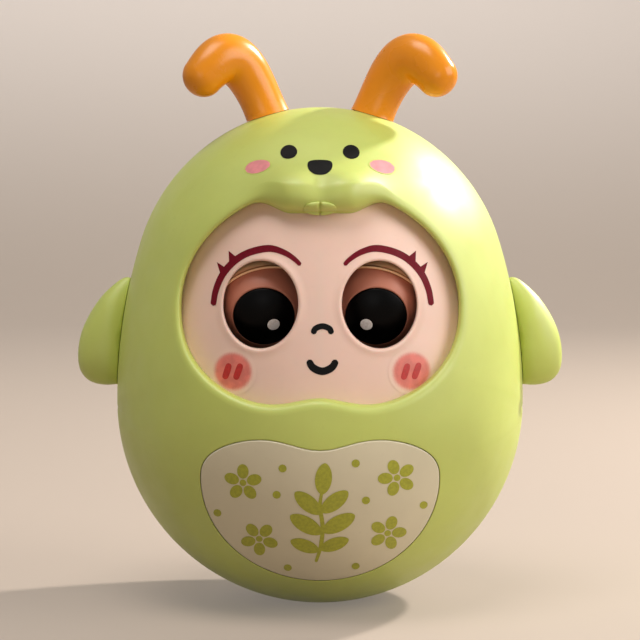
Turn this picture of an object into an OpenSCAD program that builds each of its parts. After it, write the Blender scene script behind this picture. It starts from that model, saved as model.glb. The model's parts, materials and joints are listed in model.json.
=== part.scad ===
// Roly poly toy: an egg-shaped tumbler with a weighted foot, a doll's face with rolling eyes
// behind an opening in its hood, plug-in ears and arms, and a bell inside.
// Millimetres, +Z up, the face looks along -Y, the origin is at the middle of the foot.

/* [Egg] */
// Radius of the round belly
belly_r = 50; // [44:1:60]
// How much smaller the crown's radius is than the belly's
crown_step = 4; // [2:0.5:8]
// Height of the crown's centre over the belly's centre
crown_rise = 26; // [20:1:34]
// Radius of the flat that the toy rests on
foot_r = 8; // [5:0.5:11]
// Wall of the two shells
wall_t = 2.2; // [1.8:0.1:2.8]

/* [Face opening] */
// Width of the opening in the hood
face_w = 65.2; // [61:0.2:69]
// Height of the opening in the hood
face_h = 47.8; // [44:0.2:50]
// Height of the opening below its widest line
face_low = 23.4; // [22:0.2:25]
// Height of the opening's widest line over the belly's centre
face_rise = 25.2; // [24:0.2:27]
// Width of the lip around the opening
lip_w = 3; // [2:0.5:4]
// Depth that the lip turns inward, from the egg's surface
lip_depth = 4; // [3.2:0.1:5]
// Thickness of the face mask
mask_t = 2; // [1.6:0.1:2.6]
// Width that the mask reaches behind the lip
mask_flange = 4; // [3:0.5:5]

/* [Eyes] */
// Distance between the middles of the eye openings
eye_pitch = 27.6; // [27.4:0.2:29]
// Width of an eye opening
eye_w = 17.5; // [16:0.1:18.5]
// Height of an eye opening
eye_h = 20.2; // [18:0.1:21]
// Lean of the eye openings, towards the nose at the top
eye_lean = 6; // [0:1:12]
// Radius of an eyeball
ball_r = 11.4; // [11:0.1:11.5]
// Diameter of the black iris
iris_d = 14.3; // [12:0.1:16]
// Angle that the eyes look down
gaze_down = 19; // [0:1:22]
// Angle of the lids' edge above the axle
lid_open = 42; // [25:1:50]
// Slant of the lids' edge, lower on the outer side
lid_slant = 15; // [0:1:20]
// Thickness of an eyelid
lid_t = 0.7; // [0.5:0.1:0.8]
// Radius of the eye axle
axle_r = 1.5; // [1.2:0.1:2]
// Distance from the axle down to the eye counterweight
eye_arm_l = 25; // [22:1:26]
// Radius of the eye counterweight
eye_weight_r = 4.5; // [3.5:0.5:5]

/* [Muzzle and belly panel] */
// Radius of a muzzle lobe
muzzle_r = 10; // [9:0.2:11]
// Distance between the muzzle lobes
muzzle_pitch = 11; // [9:0.2:13]
// Width of the belly panel
panel_w = 55.6; // [50:0.2:60]
// Height of the belly panel below its widest line
panel_low = 24.6; // [21:0.2:27]
// Height of the belly panel above its widest line
panel_up = 10.2; // [8:0.2:11]
// Thickness of the belly panel
panel_t = 0.9; // [0.6:0.1:1.1]

/* [Ears and arms] */
// Distance of an ear's root from the middle
ear_x = 13.4; // [11:0.2:16]
// Radius of the ears' and arms' necks
neck_r = 3.5; // [2.8:0.1:4]
// Height of the arms' necks over the belly's centre
arm_rise = 16.5; // [13:0.5:20]
// Thickness of an arm, front to back
arm_t = 11; // [8:0.5:13]

/* [Base weight and bell] */
// Depth of the base weight, front to back
weight_d = 40; // [34:1:44]
// Height of the base weight's top over the foot
weight_top = 19; // [16:0.5:20]
// Distance of the bell behind the middle
bell_y = 14; // [13:0.5:15]
// Radius of the bell's mouth
bell_r = 13; // [12:0.5:14]
// Height of the bell
bell_h = 17; // [16:0.5:19]
// Radius of the clapper's ball
clapper_r = 3.5; // [2.5:0.5:3.5]

/* [Fits] */
// Gap around pieces that are screwed or clamped in place
seat_gap = 0.15; // [0.1:0.05:0.25]
// Gap beside pieces that move
run_gap = 0.5; // [0.4:0.1:0.7]
// Running clearance of a pin in its bore
pin_gap = 0.05; // [0.02:0.01:0.09]
// Radius of the screws
screw_r = 1.3; // [1:0.1:1.5]

/* [Hidden] */
$fn = 96;

// Colours
green = "#b9cf6a";
orange = "#dc8c12";
skin = "#f0cdbd";
cream = "#f1ead2";
white = "#fbf6ee";
black = "#101010";
steel = "#b8bcc2";
brass = "#c9a24b";

// Egg: belly, flank and crown arcs that run into each other
crown_r = belly_r - crown_step;
belly_z = sqrt(belly_r * belly_r - foot_r * foot_r);
crown_z = belly_z + crown_rise;
flank_r = (belly_r * belly_r + crown_rise * crown_rise - crown_r * crown_r) / (2 * crown_step);
flank_x = flank_r - belly_r;
flank_a = atan2(crown_rise, flank_x);
egg_top = crown_z + crown_r;
far = 2 * egg_top;

// Height where the flank arc runs into the crown, on the surface moved in by inset
function shoulder_z(inset) = belly_z + (flank_r - inset) * sin(flank_a);

// Radius of the egg at height z, on the surface moved in by inset
function egg_r(z, inset) =
    z < belly_z ? sqrt(pow(belly_r - inset, 2) - pow(z - belly_z, 2))
    : z < shoulder_z(inset) ? sqrt(pow(flank_r - inset, 2) - pow(z - belly_z, 2)) - flank_x
    : sqrt(pow(crown_r - inset, 2) - pow(z - crown_z, 2));

// Depth of the egg's surface at x and z, measured from the middle
function egg_depth(x, z, inset) = sqrt(pow(egg_r(z, inset), 2) - x * x);

// Face, mask and eyes
face_z = belly_z + face_rise;
mask_inset = lip_depth + seat_gap;
mask_back = mask_inset + mask_t;
face_power = 2.35;
face_top = face_h - face_low;
face_arch = face_top + 3;
face_bump = 3;
face_bump_w = 9;
eye_lift = 0.8;
eye_z = face_z + eye_lift;
ball_in = 0.7;
ball_x = eye_pitch / 2 - ball_in;
lid_gap = 0.1;
lid_r = ball_r + lid_gap + lid_t;
eye_edge_x = eye_pitch / 2 + eye_w / 2;
eye_edge_off = eye_edge_x - ball_x;
lid_bulge = sqrt(lid_r * lid_r - eye_edge_off * eye_edge_off);
iris_proud = 0.2;
hinge_bore = axle_r + pin_gap;
bracket_t = 2.5;
bracket_x = ball_x + lid_r + run_gap;
hub_t = 1.7;
bracket_ear_r = axle_r + hub_t;
press_gap = 0.01;

// Depth of the eye axle: its lids and its bearings stay clear of the mask's back
eye_y = run_gap + max(
    lid_bulge - egg_depth(eye_edge_x, eye_z, mask_back),
    bracket_ear_r - egg_depth(bracket_x + bracket_t, eye_z, mask_back)
);

// Counterweight of the eyes, a little behind the axle so that the eyes rest open on the stop
eye_weight_l = 22;
eye_weight_back = 1.5;
eye_weight_y = eye_y + eye_weight_back;
eye_weight_z = eye_z - eye_arm_l;
eye_arm_t = 1.2;
eye_arm_w = 5;
eye_arm_low = eye_weight_z - eye_arm_w / 2;
eye_hub_r = axle_r + hub_t;
stop_w = 4;
stop_h = 4;
stop_z = eye_z - eye_arm_l * 0.6;

// Eye brackets
bracket_pad_x = bracket_x + bracket_t / 2;
bracket_reach = 13;
bracket_zs = [eye_z - bracket_reach, eye_z + bracket_reach];
bracket_pad_r = 3;
bracket_edge = 2.6;
bracket_bite = 8;

// Front of the brackets' plates: behind the axle's bearings, and clear of the mask at the pads' corners
bracket_set = 5;
bracket_corner = [bracket_pad_x + bracket_pad_r, eye_z + bracket_reach + bracket_pad_r];
bracket_y = max(eye_y + bracket_set, seat_gap - egg_depth(bracket_corner[0], bracket_corner[1], mask_back));

// Screws
screw_head_r = 2 * screw_r;
screw_head_h = 1.6;
screw_hole_r = screw_r + seat_gap;
pilot_r = screw_r + press_gap;
boss_t = 2.2;
boss_r = screw_r + boss_t;
tab_t = 0.8;
tip_room = 0.6;

// Places of the screws that hold the mask, as x and z
mask_tab_r = boss_r + tab_t;
mask_tab_x = 20;
mask_tab_out = 3;
mask_screw_at = [
    [0, face_z + mask_rise(0) + mask_tab_out],
    [-mask_tab_x, face_z - mask_drop(mask_tab_x) - mask_tab_out],
    [mask_tab_x, face_z - mask_drop(mask_tab_x) - mask_tab_out]
];

// Height of the mask's upper edge over the face's widest line at x, and of that line over the lower edge
function mask_share(x, power) = pow(1 - pow(x / (face_w / 2 + mask_flange), power), 1 / power);
function mask_rise(x) = min(face_top + mask_flange, (face_arch + mask_flange) * mask_share(x, 2));
function mask_drop(x) = (face_low + mask_flange) * mask_share(x, face_power);

// Places of the screws that close the shells, as x and z: two over the mask's edge and two in the belly
shell_boss_r = boss_r + tab_t;
shell_boss_gap = 1;
crown_screw_x = 0.54 * crown_r;
crown_screw_z = face_z + mask_rise(crown_screw_x) + shell_boss_r + shell_boss_gap;
belly_screw_x = 0.6 * belly_r;
belly_screw_z = belly_z - 0.24 * belly_r;
shell_screw_at = [
    for (side = [-1, 1]) each [[side * crown_screw_x, crown_screw_z], [side * belly_screw_x, belly_screw_z]]
];
shell_bite = 10;
shell_head_y = 4;

// Base weight and its screws
weight_inset = wall_t + seat_gap;
weight_hole_x = 16;
weight_hole_z = 11;
weight_hold = 12;
weight_seat_y = weight_d / 2 - weight_hold;
weight_bite = 3.5;

// Height of the base weight's round underside at x and y
function weight_floor(x, y) = belly_z - sqrt(pow(belly_r - weight_inset, 2) - x * x - y * y);

// Muzzle over the face opening: two lobes that swell out of the crown, and the round lip under them
muzzle_dip = 2.6;
muzzle_low = face_z + face_top - muzzle_dip;
muzzle_lift = 5.5;
muzzle_proud = 3.4;
muzzle_waist = 0.97;
muzzle_back = (wall_t + lip_depth) / 2;
muzzle_a = asin((muzzle_low + muzzle_lift - crown_z) / crown_r);
muzzle_out = crown_r + muzzle_proud - muzzle_r;
muzzle_y = -sqrt(pow(muzzle_out * cos(muzzle_a), 2) - muzzle_pitch * muzzle_pitch / 4);
muzzle_z = crown_z + muzzle_out * sin(muzzle_a);
muzzle_lip_r = 8;
muzzle_lip_x = 8.8;
muzzle_lip_set = 4.9;
muzzle_lip_y = -egg_depth(0, muzzle_low, 0) + muzzle_lip_set;
muzzle_lip_z = muzzle_low + muzzle_lip_r;
tooth_r = 2.2;
tooth_lap = 0.1;
tooth_sink = 1.6;
tooth_lift = 1.4;
tooth_at = [tooth_r - tooth_lap, -egg_depth(0, muzzle_low, 0) + tooth_sink, muzzle_low + tooth_lift];

// Belly panel: widest line, power of its upper outline and the dip in its upper edge
panel_drop = 14.8;
panel_z = belly_z - panel_drop;
panel_power = 2.5;
panel_dip = 2.6;
panel_dip_w = 8;
panel_recess = panel_t + seat_gap;

// Necks of ears and arms
collar_w = 2;
collar_r = neck_r + collar_w;
collar_t = 1.6;
hole_r = neck_r + seat_gap;
ear_a = asin(ear_x / crown_r);
arm_z = belly_z + arm_rise;
arm_root = egg_r(arm_z, 0);
skin_gap = 0.4;

// Bell and frame
frame_t = 3;
frame_w = 8;
frame_edge = 1;
frame_z = weight_top + frame_t;
bell_clear = 5;
bell_z = frame_z + bell_clear;
bell_t = 1;
bell_top = bell_z + bell_h;
frame_gap = 3;
frame_x = bell_r + frame_gap;
beam_z = bell_top;
chime_screw_in = 4;
chime_screw_x = frame_x + frame_t + chime_screw_in;
chime_screw_l = weight_top - weight_floor(chime_screw_x + screw_r, bell_y + screw_r) - 2 * tip_room;
hanger_r = 1.9;
hanger_flange_r = 4;
hanger_flange_t = 1.5;
nut_h = 2.4;
fork_w = 6;
fork_h = 5;
slot_w = 2.4;
pin_r = 0.8;
pivot_drop = 2.8;
pivot_z = bell_top - bell_t - hanger_flange_t - pivot_drop;
clapper_l = pivot_z - bell_z;
clapper_t = slot_w - 2 * run_gap;
clapper_eye_t = 1.1;
clapper_eye_r = pin_r + clapper_eye_t;
clapper_rod_r = 0.7;

// Ears, bent outward and forward: flattening, root, control points of the middle line from the root, radii
ear_flat = 0.85;
ear_root = [ear_x, 0, crown_z + sqrt(crown_r * crown_r - ear_x * ear_x)];
ear_ctrl = [[0, 0, 0], [3.4, 0, 25], [16.5, -5.8, 9.8], [15.1, -9.2, 9.1]];
ear_steps = 7;
ear_root_r = 4.6;
ear_tip_r = 4.85;
ear_bend_r = 0.7;

// Balls that an arm wraps: x from its root on the egg, z from its neck, then the radius
arm_line = [[0, 8.4, 4.2], [2.4, 0, 8.2], [5.4, -7.5, 5.5], [0.9, -7.5, 5.8]];
arm_wide_r = max([for (p = arm_line) p[2]]);

// Step of angle along an outline
outline_step = 7.5;

// A power that keeps the sign
function bent(v, p) = sign(v) * pow(abs(v), p);

// Outline of the face opening, grown on all sides: round flanks, a flat top and a bump in the lower edge
function face_outline(grow) = concat(
    [for (t = [0 : outline_step : 180])
        [(face_w / 2 + grow) * cos(t), min(face_top + grow, (face_arch + grow) * sin(t))]],
    [for (t = [180 + outline_step : outline_step : 360 - outline_step])
        let (x = (face_w / 2 + grow) * bent(cos(t), 2 / face_power))
        [x, (face_low + grow) * bent(sin(t), 2 / face_power) + face_lift(t, x)]]
);

// Height of the bump in the face opening's lower edge, at angle t and x
function face_lift(t, x) = -face_bump * sin(t) * exp(-pow(x / face_bump_w, 2));

// Outline of an eye opening
eye_outline = [for (t = [0 : 10 : 350]) [eye_w / 2 * cos(t), eye_h / 2 * sin(t)]];

// Height of the belly panel's upper outline over its widest line, at angle t
function panel_rise(t, x) =
    panel_up * pow(sin(t), 2 / panel_power) - panel_dip * sin(t) * exp(-pow(x / panel_dip_w, 2));

// Outline of the belly panel, grown on all sides
function panel_outline(grow) = concat(
    [for (t = [0 : outline_step : 180]) let (x = (panel_w / 2 + grow) * bent(cos(t), 2 / panel_power))
        [x, panel_rise(t, x) + grow * sin(t)]],
    [for (t = [180 + outline_step : outline_step : 360 - outline_step])
        [(panel_w / 2 + grow) * cos(t), (panel_low + grow) * sin(t)]]
);

// Half profile of the egg with its surface moved in by inset: belly, flank and crown
module egg_profile(inset) {
    intersection() {
        translate([0, belly_z]) circle(r = belly_r - inset);
        square([far, belly_z]);
    }
    intersection() {
        translate([-flank_x, belly_z]) circle(r = flank_r - inset);
        translate([0, belly_z]) square([far, shoulder_z(inset) - belly_z]);
    }
    intersection() {
        translate([0, crown_z]) circle(r = crown_r - inset);
        translate([0, shoulder_z(inset)]) square([far, far]);
    }
}

// Solid egg with its surface moved in by inset
module egg(inset) {
    rotate_extrude() egg_profile(inset);
}

// Layer of the egg between two depths under its surface
module layer(outer, inner) {
    difference() {
        egg(outer);
        egg(inner);
    }
}

// Space in front of the seam between the shells, or behind it
module half_space(side) {
    translate([-far, side < 0 ? -far : 0, -far / 4]) cube([2 * far, far, 2 * far]);
}

// Rod along Y at x and z, between two depths
module y_rod(at, r, y0, y1) {
    translate([at[0], y0, at[1]]) rotate([-90, 0, 0]) cylinder(r = r, h = y1 - y0);
}

// Prism of an outline that runs from the middle of the egg to the front
module front_prism(points, z) {
    translate([0, 0, z]) rotate([90, 0, 0]) linear_extrude(far) polygon(points);
}

// Cross-head screw along Y, its head's seat at y0 and its tip in front of that at y1
module screw(at, y0, y1) {
    difference() {
        union() {
            y_rod(at, screw_r, y1, y0 + screw_head_h / 4);
            y_rod(at, screw_head_r, y0, y0 + screw_head_h);
        }
        for (a = [0, 90])
            translate([at[0], y0 + screw_head_h, at[1]]) rotate([0, a, 0])
                cube([screw_head_r * 1.2, screw_head_h, 0.6], center = true);
    }
}

// Flat seat of a mask screw's head: clear of the mask's curved back all round the tab
function mask_seat_y(at) =
    -egg_depth(abs(at[0]) + boss_r, at[1] + (at[1] > face_z ? boss_r : -boss_r), mask_back);

// Tip of a mask screw, at the inside of the shell's wall
function mask_tip_y(at) = -egg_depth(at[0], at[1], wall_t);

// Frame of a neck: along the ear's root, or straight out of the flank
module at_ear(side) {
    translate([0, 0, crown_z]) rotate([0, side * ear_a, 0]) children();
}
module at_arm(side) {
    translate([0, 0, arm_z]) rotate([0, side * 90, 0]) children();
}

// Holes in both shells for the necks of ears and arms
module neck_holes() {
    for (side = [-1, 1]) {
        at_ear(side) translate([0, 0, crown_r - 3 * wall_t]) cylinder(r = hole_r, h = 6 * wall_t);
        at_arm(side) translate([0, 0, arm_root - 3 * wall_t]) cylinder(r = hole_r, h = 6 * wall_t);
    }
}

// Neck of an ear or arm through the wall, and the space of the collar that the shells trap behind it
module neck(root) {
    translate([0, 0, root - wall_t - collar_t]) cylinder(r = neck_r, h = wall_t + collar_t + 2);
}
module collar_space(root) {
    translate([0, 0, root - 3 * wall_t - collar_t]) cylinder(r = collar_r, h = far);
}

// Two balls and the bar between them, along X
module lobes(half_l, r, y, z) {
    translate([-half_l, y, z]) rotate([0, 90, 0]) cylinder(r = r * muzzle_waist, h = 2 * half_l);
    for (side = [-1, 1]) translate([side * half_l, y, z]) sphere(r = r);
}

// Lobes and teeth of the hood's muzzle
module muzzle() {
    difference() {
        union() {
            intersection() {
                lobes(muzzle_pitch / 2, muzzle_r, muzzle_y, muzzle_z);
                lobes(muzzle_lip_x, muzzle_lip_r, muzzle_lip_y, muzzle_lip_z);
            }
            for (side = [-1, 1])
                translate([side * tooth_at[0], tooth_at[1], tooth_at[2]]) sphere(r = tooth_r);
        }
        egg(muzzle_back);
    }
}

module front_shell() {
    color(green) difference() {
        union() {
            difference() {
                union() {
                    intersection() {
                        layer(0, wall_t);
                        half_space(-1);
                    }
                    intersection() {
                        front_prism(face_outline(lip_w), face_z);
                        layer(wall_t / 2, lip_depth);
                    }
                    intersection() {
                        for (at = mask_screw_at) y_rod(at, boss_r, -far, 0);
                        layer(wall_t / 2, lip_depth);
                    }
                    intersection() {
                        for (at = shell_screw_at) y_rod(at, shell_boss_r, -far, 0);
                        egg(wall_t / 2);
                    }
                }
                front_prism(face_outline(0), face_z);
                difference() {
                    front_prism(panel_outline(seat_gap), panel_z);
                    egg(panel_recess);
                }
            }
            muzzle();
        }
        neck_holes();
        for (at = mask_screw_at) y_rod(at, pilot_r, mask_tip_y(at) - tip_room, 0);
        for (at = shell_screw_at) y_rod(at, pilot_r, -shell_bite - tip_room, far);
    }
}

module rear_shell() {
    color(green) difference() {
        union() {
            intersection() {
                layer(0, wall_t);
                half_space(1);
            }
            intersection() {
                for (at = shell_screw_at) y_rod(at, shell_boss_r, 0, far);
                egg(wall_t / 2);
            }
            intersection() {
                for (x = [-weight_hole_x, weight_hole_x])
                    y_rod([x, weight_hole_z], boss_r, weight_d / 2 + seat_gap, far);
                egg(wall_t / 2);
            }
        }
        neck_holes();
        for (at = shell_screw_at) {
            y_rod(at, screw_hole_r, -far, far);
            y_rod(at, screw_head_r + seat_gap, shell_head_y, far);
        }
        for (x = [-weight_hole_x, weight_hole_x])
            y_rod([x, weight_hole_z], pilot_r, 0, weight_d / 2 + weight_bite + tip_room);
    }
}

// Boss of an eye bracket on the back of the mask
module bracket_boss(at) {
    intersection() {
        y_rod(at, boss_r, -far, bracket_y);
        egg(mask_inset + mask_t / 2);
    }
}

module face_mask() {
    color(skin) difference() {
        union() {
            intersection() {
                union() {
                    front_prism(face_outline(mask_flange), face_z);
                    for (at = mask_screw_at) y_rod(at, mask_tab_r, -far, 0);
                }
                layer(mask_inset, mask_back);
                half_space(-1);
            }
            for (at = mask_screw_at) intersection() {
                y_rod(at, boss_r, -far, mask_seat_y(at));
                egg(mask_inset + mask_t / 2);
            }
            for (side = [-1, 1], z = bracket_zs) bracket_boss([side * bracket_pad_x, z]);
            intersection() {
                translate([-stop_w / 2, -far, stop_z])
                    cube([stop_w, far + eye_y - eye_arm_w / 2 - run_gap, stop_h]);
                egg(mask_inset + mask_t / 2);
            }
        }
        for (side = [-1, 1])
            translate([side * eye_pitch / 2, 0, eye_z]) rotate([0, -side * eye_lean, 0])
                front_prism(eye_outline, 0);
        for (at = mask_screw_at) y_rod(at, screw_hole_r, -far, 0);
        for (side = [-1, 1], z = bracket_zs)
            y_rod([side * bracket_pad_x, z], pilot_r, bracket_tip_y(z) - tip_room, 0);
    }
}

// Tip of a bracket screw, short of the mask's front
function bracket_tip_y(z) =
    max(bracket_y - bracket_bite, -egg_depth(bracket_pad_x, z, mask_back + mask_t / 2));

module belly_panel() {
    color(cream) intersection() {
        front_prism(panel_outline(0), panel_z);
        layer(0, panel_t);
    }
}

module ear(side) {
    color(orange) {
        difference() {
            scale([1, ear_flat, 1]) for (i = [1 : ear_steps]) hull() {
                ear_ball(side, (i - 1) / ear_steps);
                ear_ball(side, i / ear_steps);
            }
            egg(-seat_gap);
        }
        at_ear(side) neck(crown_r);
        intersection() {
            at_ear(side) collar_space(crown_r);
            layer(wall_t + seat_gap, wall_t + seat_gap + collar_t);
        }
    }
}

// Point and radius on the ear's middle line, at t from root to tip
function ear_point(t) =
    pow(1 - t, 3) * ear_ctrl[0] + 3 * pow(1 - t, 2) * t * ear_ctrl[1]
    + 3 * (1 - t) * t * t * ear_ctrl[2] + pow(t, 3) * ear_ctrl[3];
function ear_radius(t) = ear_root_r + (ear_tip_r - ear_root_r) * t + ear_bend_r * sin(180 * t);

// One ball on the ear's middle line
module ear_ball(side, t) {
    p = ear_root + ear_point(t);
    translate([side * p[0], p[1], p[2]]) sphere(r = ear_radius(t), $fn = 24);
}

module arm(side) {
    color(green) {
        difference() {
            scale([1, arm_t / (2 * arm_wide_r), 1]) hull() for (p = arm_line)
                translate([side * (arm_root + p[0]), 0, arm_z + p[1]]) sphere(r = p[2], $fn = 32);
            egg(-skin_gap);
        }
        at_arm(side) neck(arm_root);
        intersection() {
            at_arm(side) collar_space(arm_root);
            layer(wall_t + seat_gap, wall_t + seat_gap + collar_t);
        }
    }
}

// Frame of an eyeball, and the direction of its gaze
module at_ball(side) {
    translate([side * ball_x, eye_y, eye_z]) children();
}
module at_gaze(side) {
    at_ball(side) rotate([90 + gaze_down, 0, 0]) children();
}

// Depth of the iris' seat in the ball, from the ball's middle
iris_edge = 1.2;
iris_seat = sqrt(ball_r * ball_r - iris_d * iris_d / 4) - iris_edge;

// Rod along X on the eye axle
module axle_rod(r, l) {
    translate([-l / 2, eye_y, eye_z]) rotate([0, 90, 0]) cylinder(r = r, h = l);
}

module eyeball(side) {
    color(white) difference() {
        at_ball(side) sphere(r = ball_r);
        at_gaze(side) translate([0, 0, iris_seat]) cylinder(r = iris_d / 2 + seat_gap, h = ball_r);
        axle_rod(axle_r + press_gap, far);
    }
}

module iris(side) {
    color(black) intersection() {
        at_ball(side) sphere(r = ball_r + iris_proud);
        at_gaze(side) translate([0, 0, iris_seat + press_gap]) cylinder(r = iris_d / 2, h = ball_r);
    }
}

module eyelid(side) {
    color(skin) difference() {
        at_ball(side) intersection() {
            sphere(r = lid_r);
            rotate([0, side * lid_slant, 0]) rotate([-lid_open, 0, 0])
                translate([-far, -far, 0]) cube([2 * far, 2 * far, far]);
        }
        at_ball(side) sphere(r = ball_r + lid_gap);
        axle_rod(eye_hub_r + run_gap, far);
    }
}

module eye_axle() {
    color(steel) axle_rod(axle_r, 2 * (bracket_x + bracket_t) + 1);
}

// Flat arm between the eyeballs, from the axle down to the counterweight
module eye_weight_arm() {
    color(steel) difference() {
        union() {
            axle_rod(eye_hub_r, eye_arm_t);
            translate([-eye_arm_t / 2, eye_y - eye_arm_w / 2, eye_arm_low])
                cube([eye_arm_t, eye_arm_w, eye_z - eye_arm_low]);
        }
        axle_rod(axle_r + press_gap, far);
    }
}

module eye_counterweight() {
    color(steel) difference() {
        translate([-eye_weight_l / 2, eye_weight_y, eye_weight_z]) rotate([0, 90, 0])
            cylinder(r = eye_weight_r, h = eye_weight_l);
        translate([-eye_arm_t / 2 - press_gap, eye_y - eye_arm_w / 2 - press_gap, eye_arm_low])
            cube([eye_arm_t + 2 * press_gap, eye_arm_w + 2 * press_gap, far]);
    }
}

// Bearing ear and back plate that carry one end of the axle
module eye_bracket(side) {
    plate_y = bracket_y + seat_gap;
    color(cream) difference() {
        union() {
            translate([side * bracket_pad_x, plate_y, eye_z]) mirror([side < 0 ? 1 : 0, 0, 0])
                translate([-bracket_t / 2, 0, -bracket_reach])
                    cube([bracket_t / 2 + bracket_edge, bracket_t, 2 * bracket_reach]);
            for (z = bracket_zs)
                y_rod([side * bracket_pad_x, z], bracket_pad_r, plate_y, plate_y + bracket_t);
            intersection() {
                union() {
                    axle_rod(bracket_ear_r, far);
                    translate([-far / 2, eye_y, eye_z - bracket_ear_r])
                        cube([far, plate_y + bracket_t - eye_y, 2 * bracket_ear_r]);
                }
                translate([side * bracket_pad_x - bracket_t / 2, -far, 0]) cube([bracket_t, 2 * far, far]);
            }
        }
        axle_rod(hinge_bore, far);
        for (z = bracket_zs) y_rod([side * bracket_pad_x, z], screw_hole_r, -far, far);
    }
}

module bracket_screws() {
    color(steel) for (side = [-1, 1], z = bracket_zs)
        screw([side * bracket_pad_x, z], bracket_y + bracket_t + seat_gap, bracket_tip_y(z));
}

module mask_screws() {
    color(steel) for (at = mask_screw_at) screw(at, mask_seat_y(at), mask_tip_y(at));
}

module shell_screws() {
    color(steel) for (at = shell_screw_at) screw(at, shell_head_y, -shell_bite);
}

module weight_screws() {
    color(steel) mirror([0, 1, 0]) for (x = [-weight_hole_x, weight_hole_x])
        screw([x, weight_hole_z], -weight_seat_y, -weight_d / 2 - weight_bite);
}

// Round-bottomed steel weight that fills the foot of the egg
module base_weight() {
    color(steel) difference() {
        intersection() {
            egg(weight_inset);
            translate([-far / 2, -weight_d / 2, 0]) cube([far, weight_d, weight_top]);
        }
        for (x = [-weight_hole_x, weight_hole_x]) {
            y_rod([x, weight_hole_z], screw_hole_r, -far, far);
            y_rod([x, weight_hole_z], screw_head_r + seat_gap, -far, weight_seat_y);
        }
        for (side = [-1, 1]) chime_screw_hole(side, pilot_r);
    }
}

// Upright hole of a chime screw in the base weight
module chime_screw_hole(side, r) {
    translate([side * chime_screw_x, bell_y, weight_top - chime_screw_l - tip_room])
        cylinder(r = r, h = 2 * chime_screw_l);
}

// Portal on top of the base weight that the bell hangs from
module chime_frame() {
    foot_l = chime_screw_x + screw_head_r + frame_edge;
    color(cream) difference() {
        union() {
            translate([-foot_l, bell_y - frame_w / 2, weight_top]) cube([2 * foot_l, frame_w, frame_t]);
            for (side = [-1, 1])
                translate([side * (frame_x + frame_t / 2) - frame_t / 2, bell_y - frame_w / 2, weight_top])
                    cube([frame_t, frame_w, beam_z + frame_t - weight_top]);
            translate([-frame_x, bell_y - frame_w / 2, beam_z]) cube([2 * frame_x, frame_w, frame_t]);
        }
        translate([0, bell_y, beam_z - frame_t]) cylinder(r = hanger_r + seat_gap, h = 3 * frame_t);
        for (side = [-1, 1]) chime_screw_hole(side, screw_hole_r);
    }
}

module chime_screws() {
    color(steel) for (side = [-1, 1]) translate([side * chime_screw_x, bell_y, frame_z])
        rotate([90, 0, 0]) screw([0, 0], 0, -chime_screw_l - frame_t);
}

// Half profile of the bell: a dome over a straight skirt
module bell_profile(inset) {
    dome_r = 8;
    crown_w = bell_r - dome_r;
    square([bell_r - inset, bell_h - dome_r]);
    translate([0, bell_h - dome_r]) square([crown_w, dome_r - inset]);
    intersection() {
        translate([crown_w, bell_h - dome_r]) circle(r = dome_r - inset);
        translate([crown_w, bell_h - dome_r]) square([dome_r, dome_r]);
    }
}

module chime_bell() {
    color(brass) translate([0, bell_y, bell_z]) difference() {
        rotate_extrude() bell_profile(0);
        rotate_extrude() bell_profile(bell_t);
        cylinder(r = hanger_r + seat_gap, h = far);
    }
}

// Stud through the bell and the beam, with a flange under the bell and a fork for the clapper
module bell_hanger() {
    flange_z = bell_top - bell_t - hanger_flange_t;
    color(steel) translate([0, bell_y, 0]) difference() {
        union() {
            translate([0, 0, flange_z]) cylinder(r = hanger_flange_r, h = hanger_flange_t);
            translate([0, 0, flange_z]) cylinder(r = hanger_r, h = beam_z + frame_t + nut_h + 1 - flange_z);
            translate([-fork_w / 2, -fork_w / 4, flange_z - fork_h]) cube([fork_w, fork_w / 2, fork_h]);
        }
        translate([-slot_w / 2, -fork_w, flange_z - fork_h])
            cube([slot_w, 2 * fork_w, pivot_z + clapper_eye_r + run_gap - flange_z + fork_h]);
        translate([-fork_w, 0, pivot_z]) rotate([0, 90, 0]) cylinder(r = pin_r + press_gap, h = 2 * fork_w);
    }
}

module hanger_nut() {
    color(brass) translate([0, bell_y, beam_z + frame_t]) difference() {
        cylinder(r = 2 * hanger_r, h = nut_h, $fn = 6);
        translate([0, 0, -nut_h]) cylinder(r = hanger_r + press_gap, h = 3 * nut_h);
    }
}

module clapper_pin() {
    color(steel) translate([-fork_w / 2, bell_y, pivot_z]) rotate([0, 90, 0])
        cylinder(r = pin_r, h = fork_w);
}

module clapper() {
    color(steel) translate([0, bell_y, pivot_z]) difference() {
        union() {
            translate([-clapper_t / 2, 0, 0]) rotate([0, 90, 0]) cylinder(r = clapper_eye_r, h = clapper_t);
            translate([0, 0, -clapper_l]) cylinder(r = clapper_rod_r, h = clapper_l - pin_r);
            translate([0, 0, -clapper_l]) sphere(r = clapper_r);
        }
        translate([-far / 2, 0, 0]) rotate([0, 90, 0]) cylinder(r = pin_r + pin_gap, h = far);
    }
}

front_shell();
rear_shell();
face_mask();
belly_panel();
ear(-1);  // left_ear
ear(1);  // right_ear
arm(-1);  // left_arm
arm(1);  // right_arm
eyeball(-1);  // left_eyeball
eyeball(1);  // right_eyeball
iris(-1);  // left_iris
iris(1);  // right_iris
eyelid(-1);  // left_eyelid
eyelid(1);  // right_eyelid
eye_axle();
eye_weight_arm();
eye_counterweight();
eye_bracket(-1);  // left_eye_bracket
eye_bracket(1);  // right_eye_bracket
bracket_screws();
mask_screws();
shell_screws();
weight_screws();
chime_screws();
base_weight();
chime_frame();
chime_bell();
bell_hanger();
hanger_nut();
clapper_pin();
clapper();
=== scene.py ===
import json
import math

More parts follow.
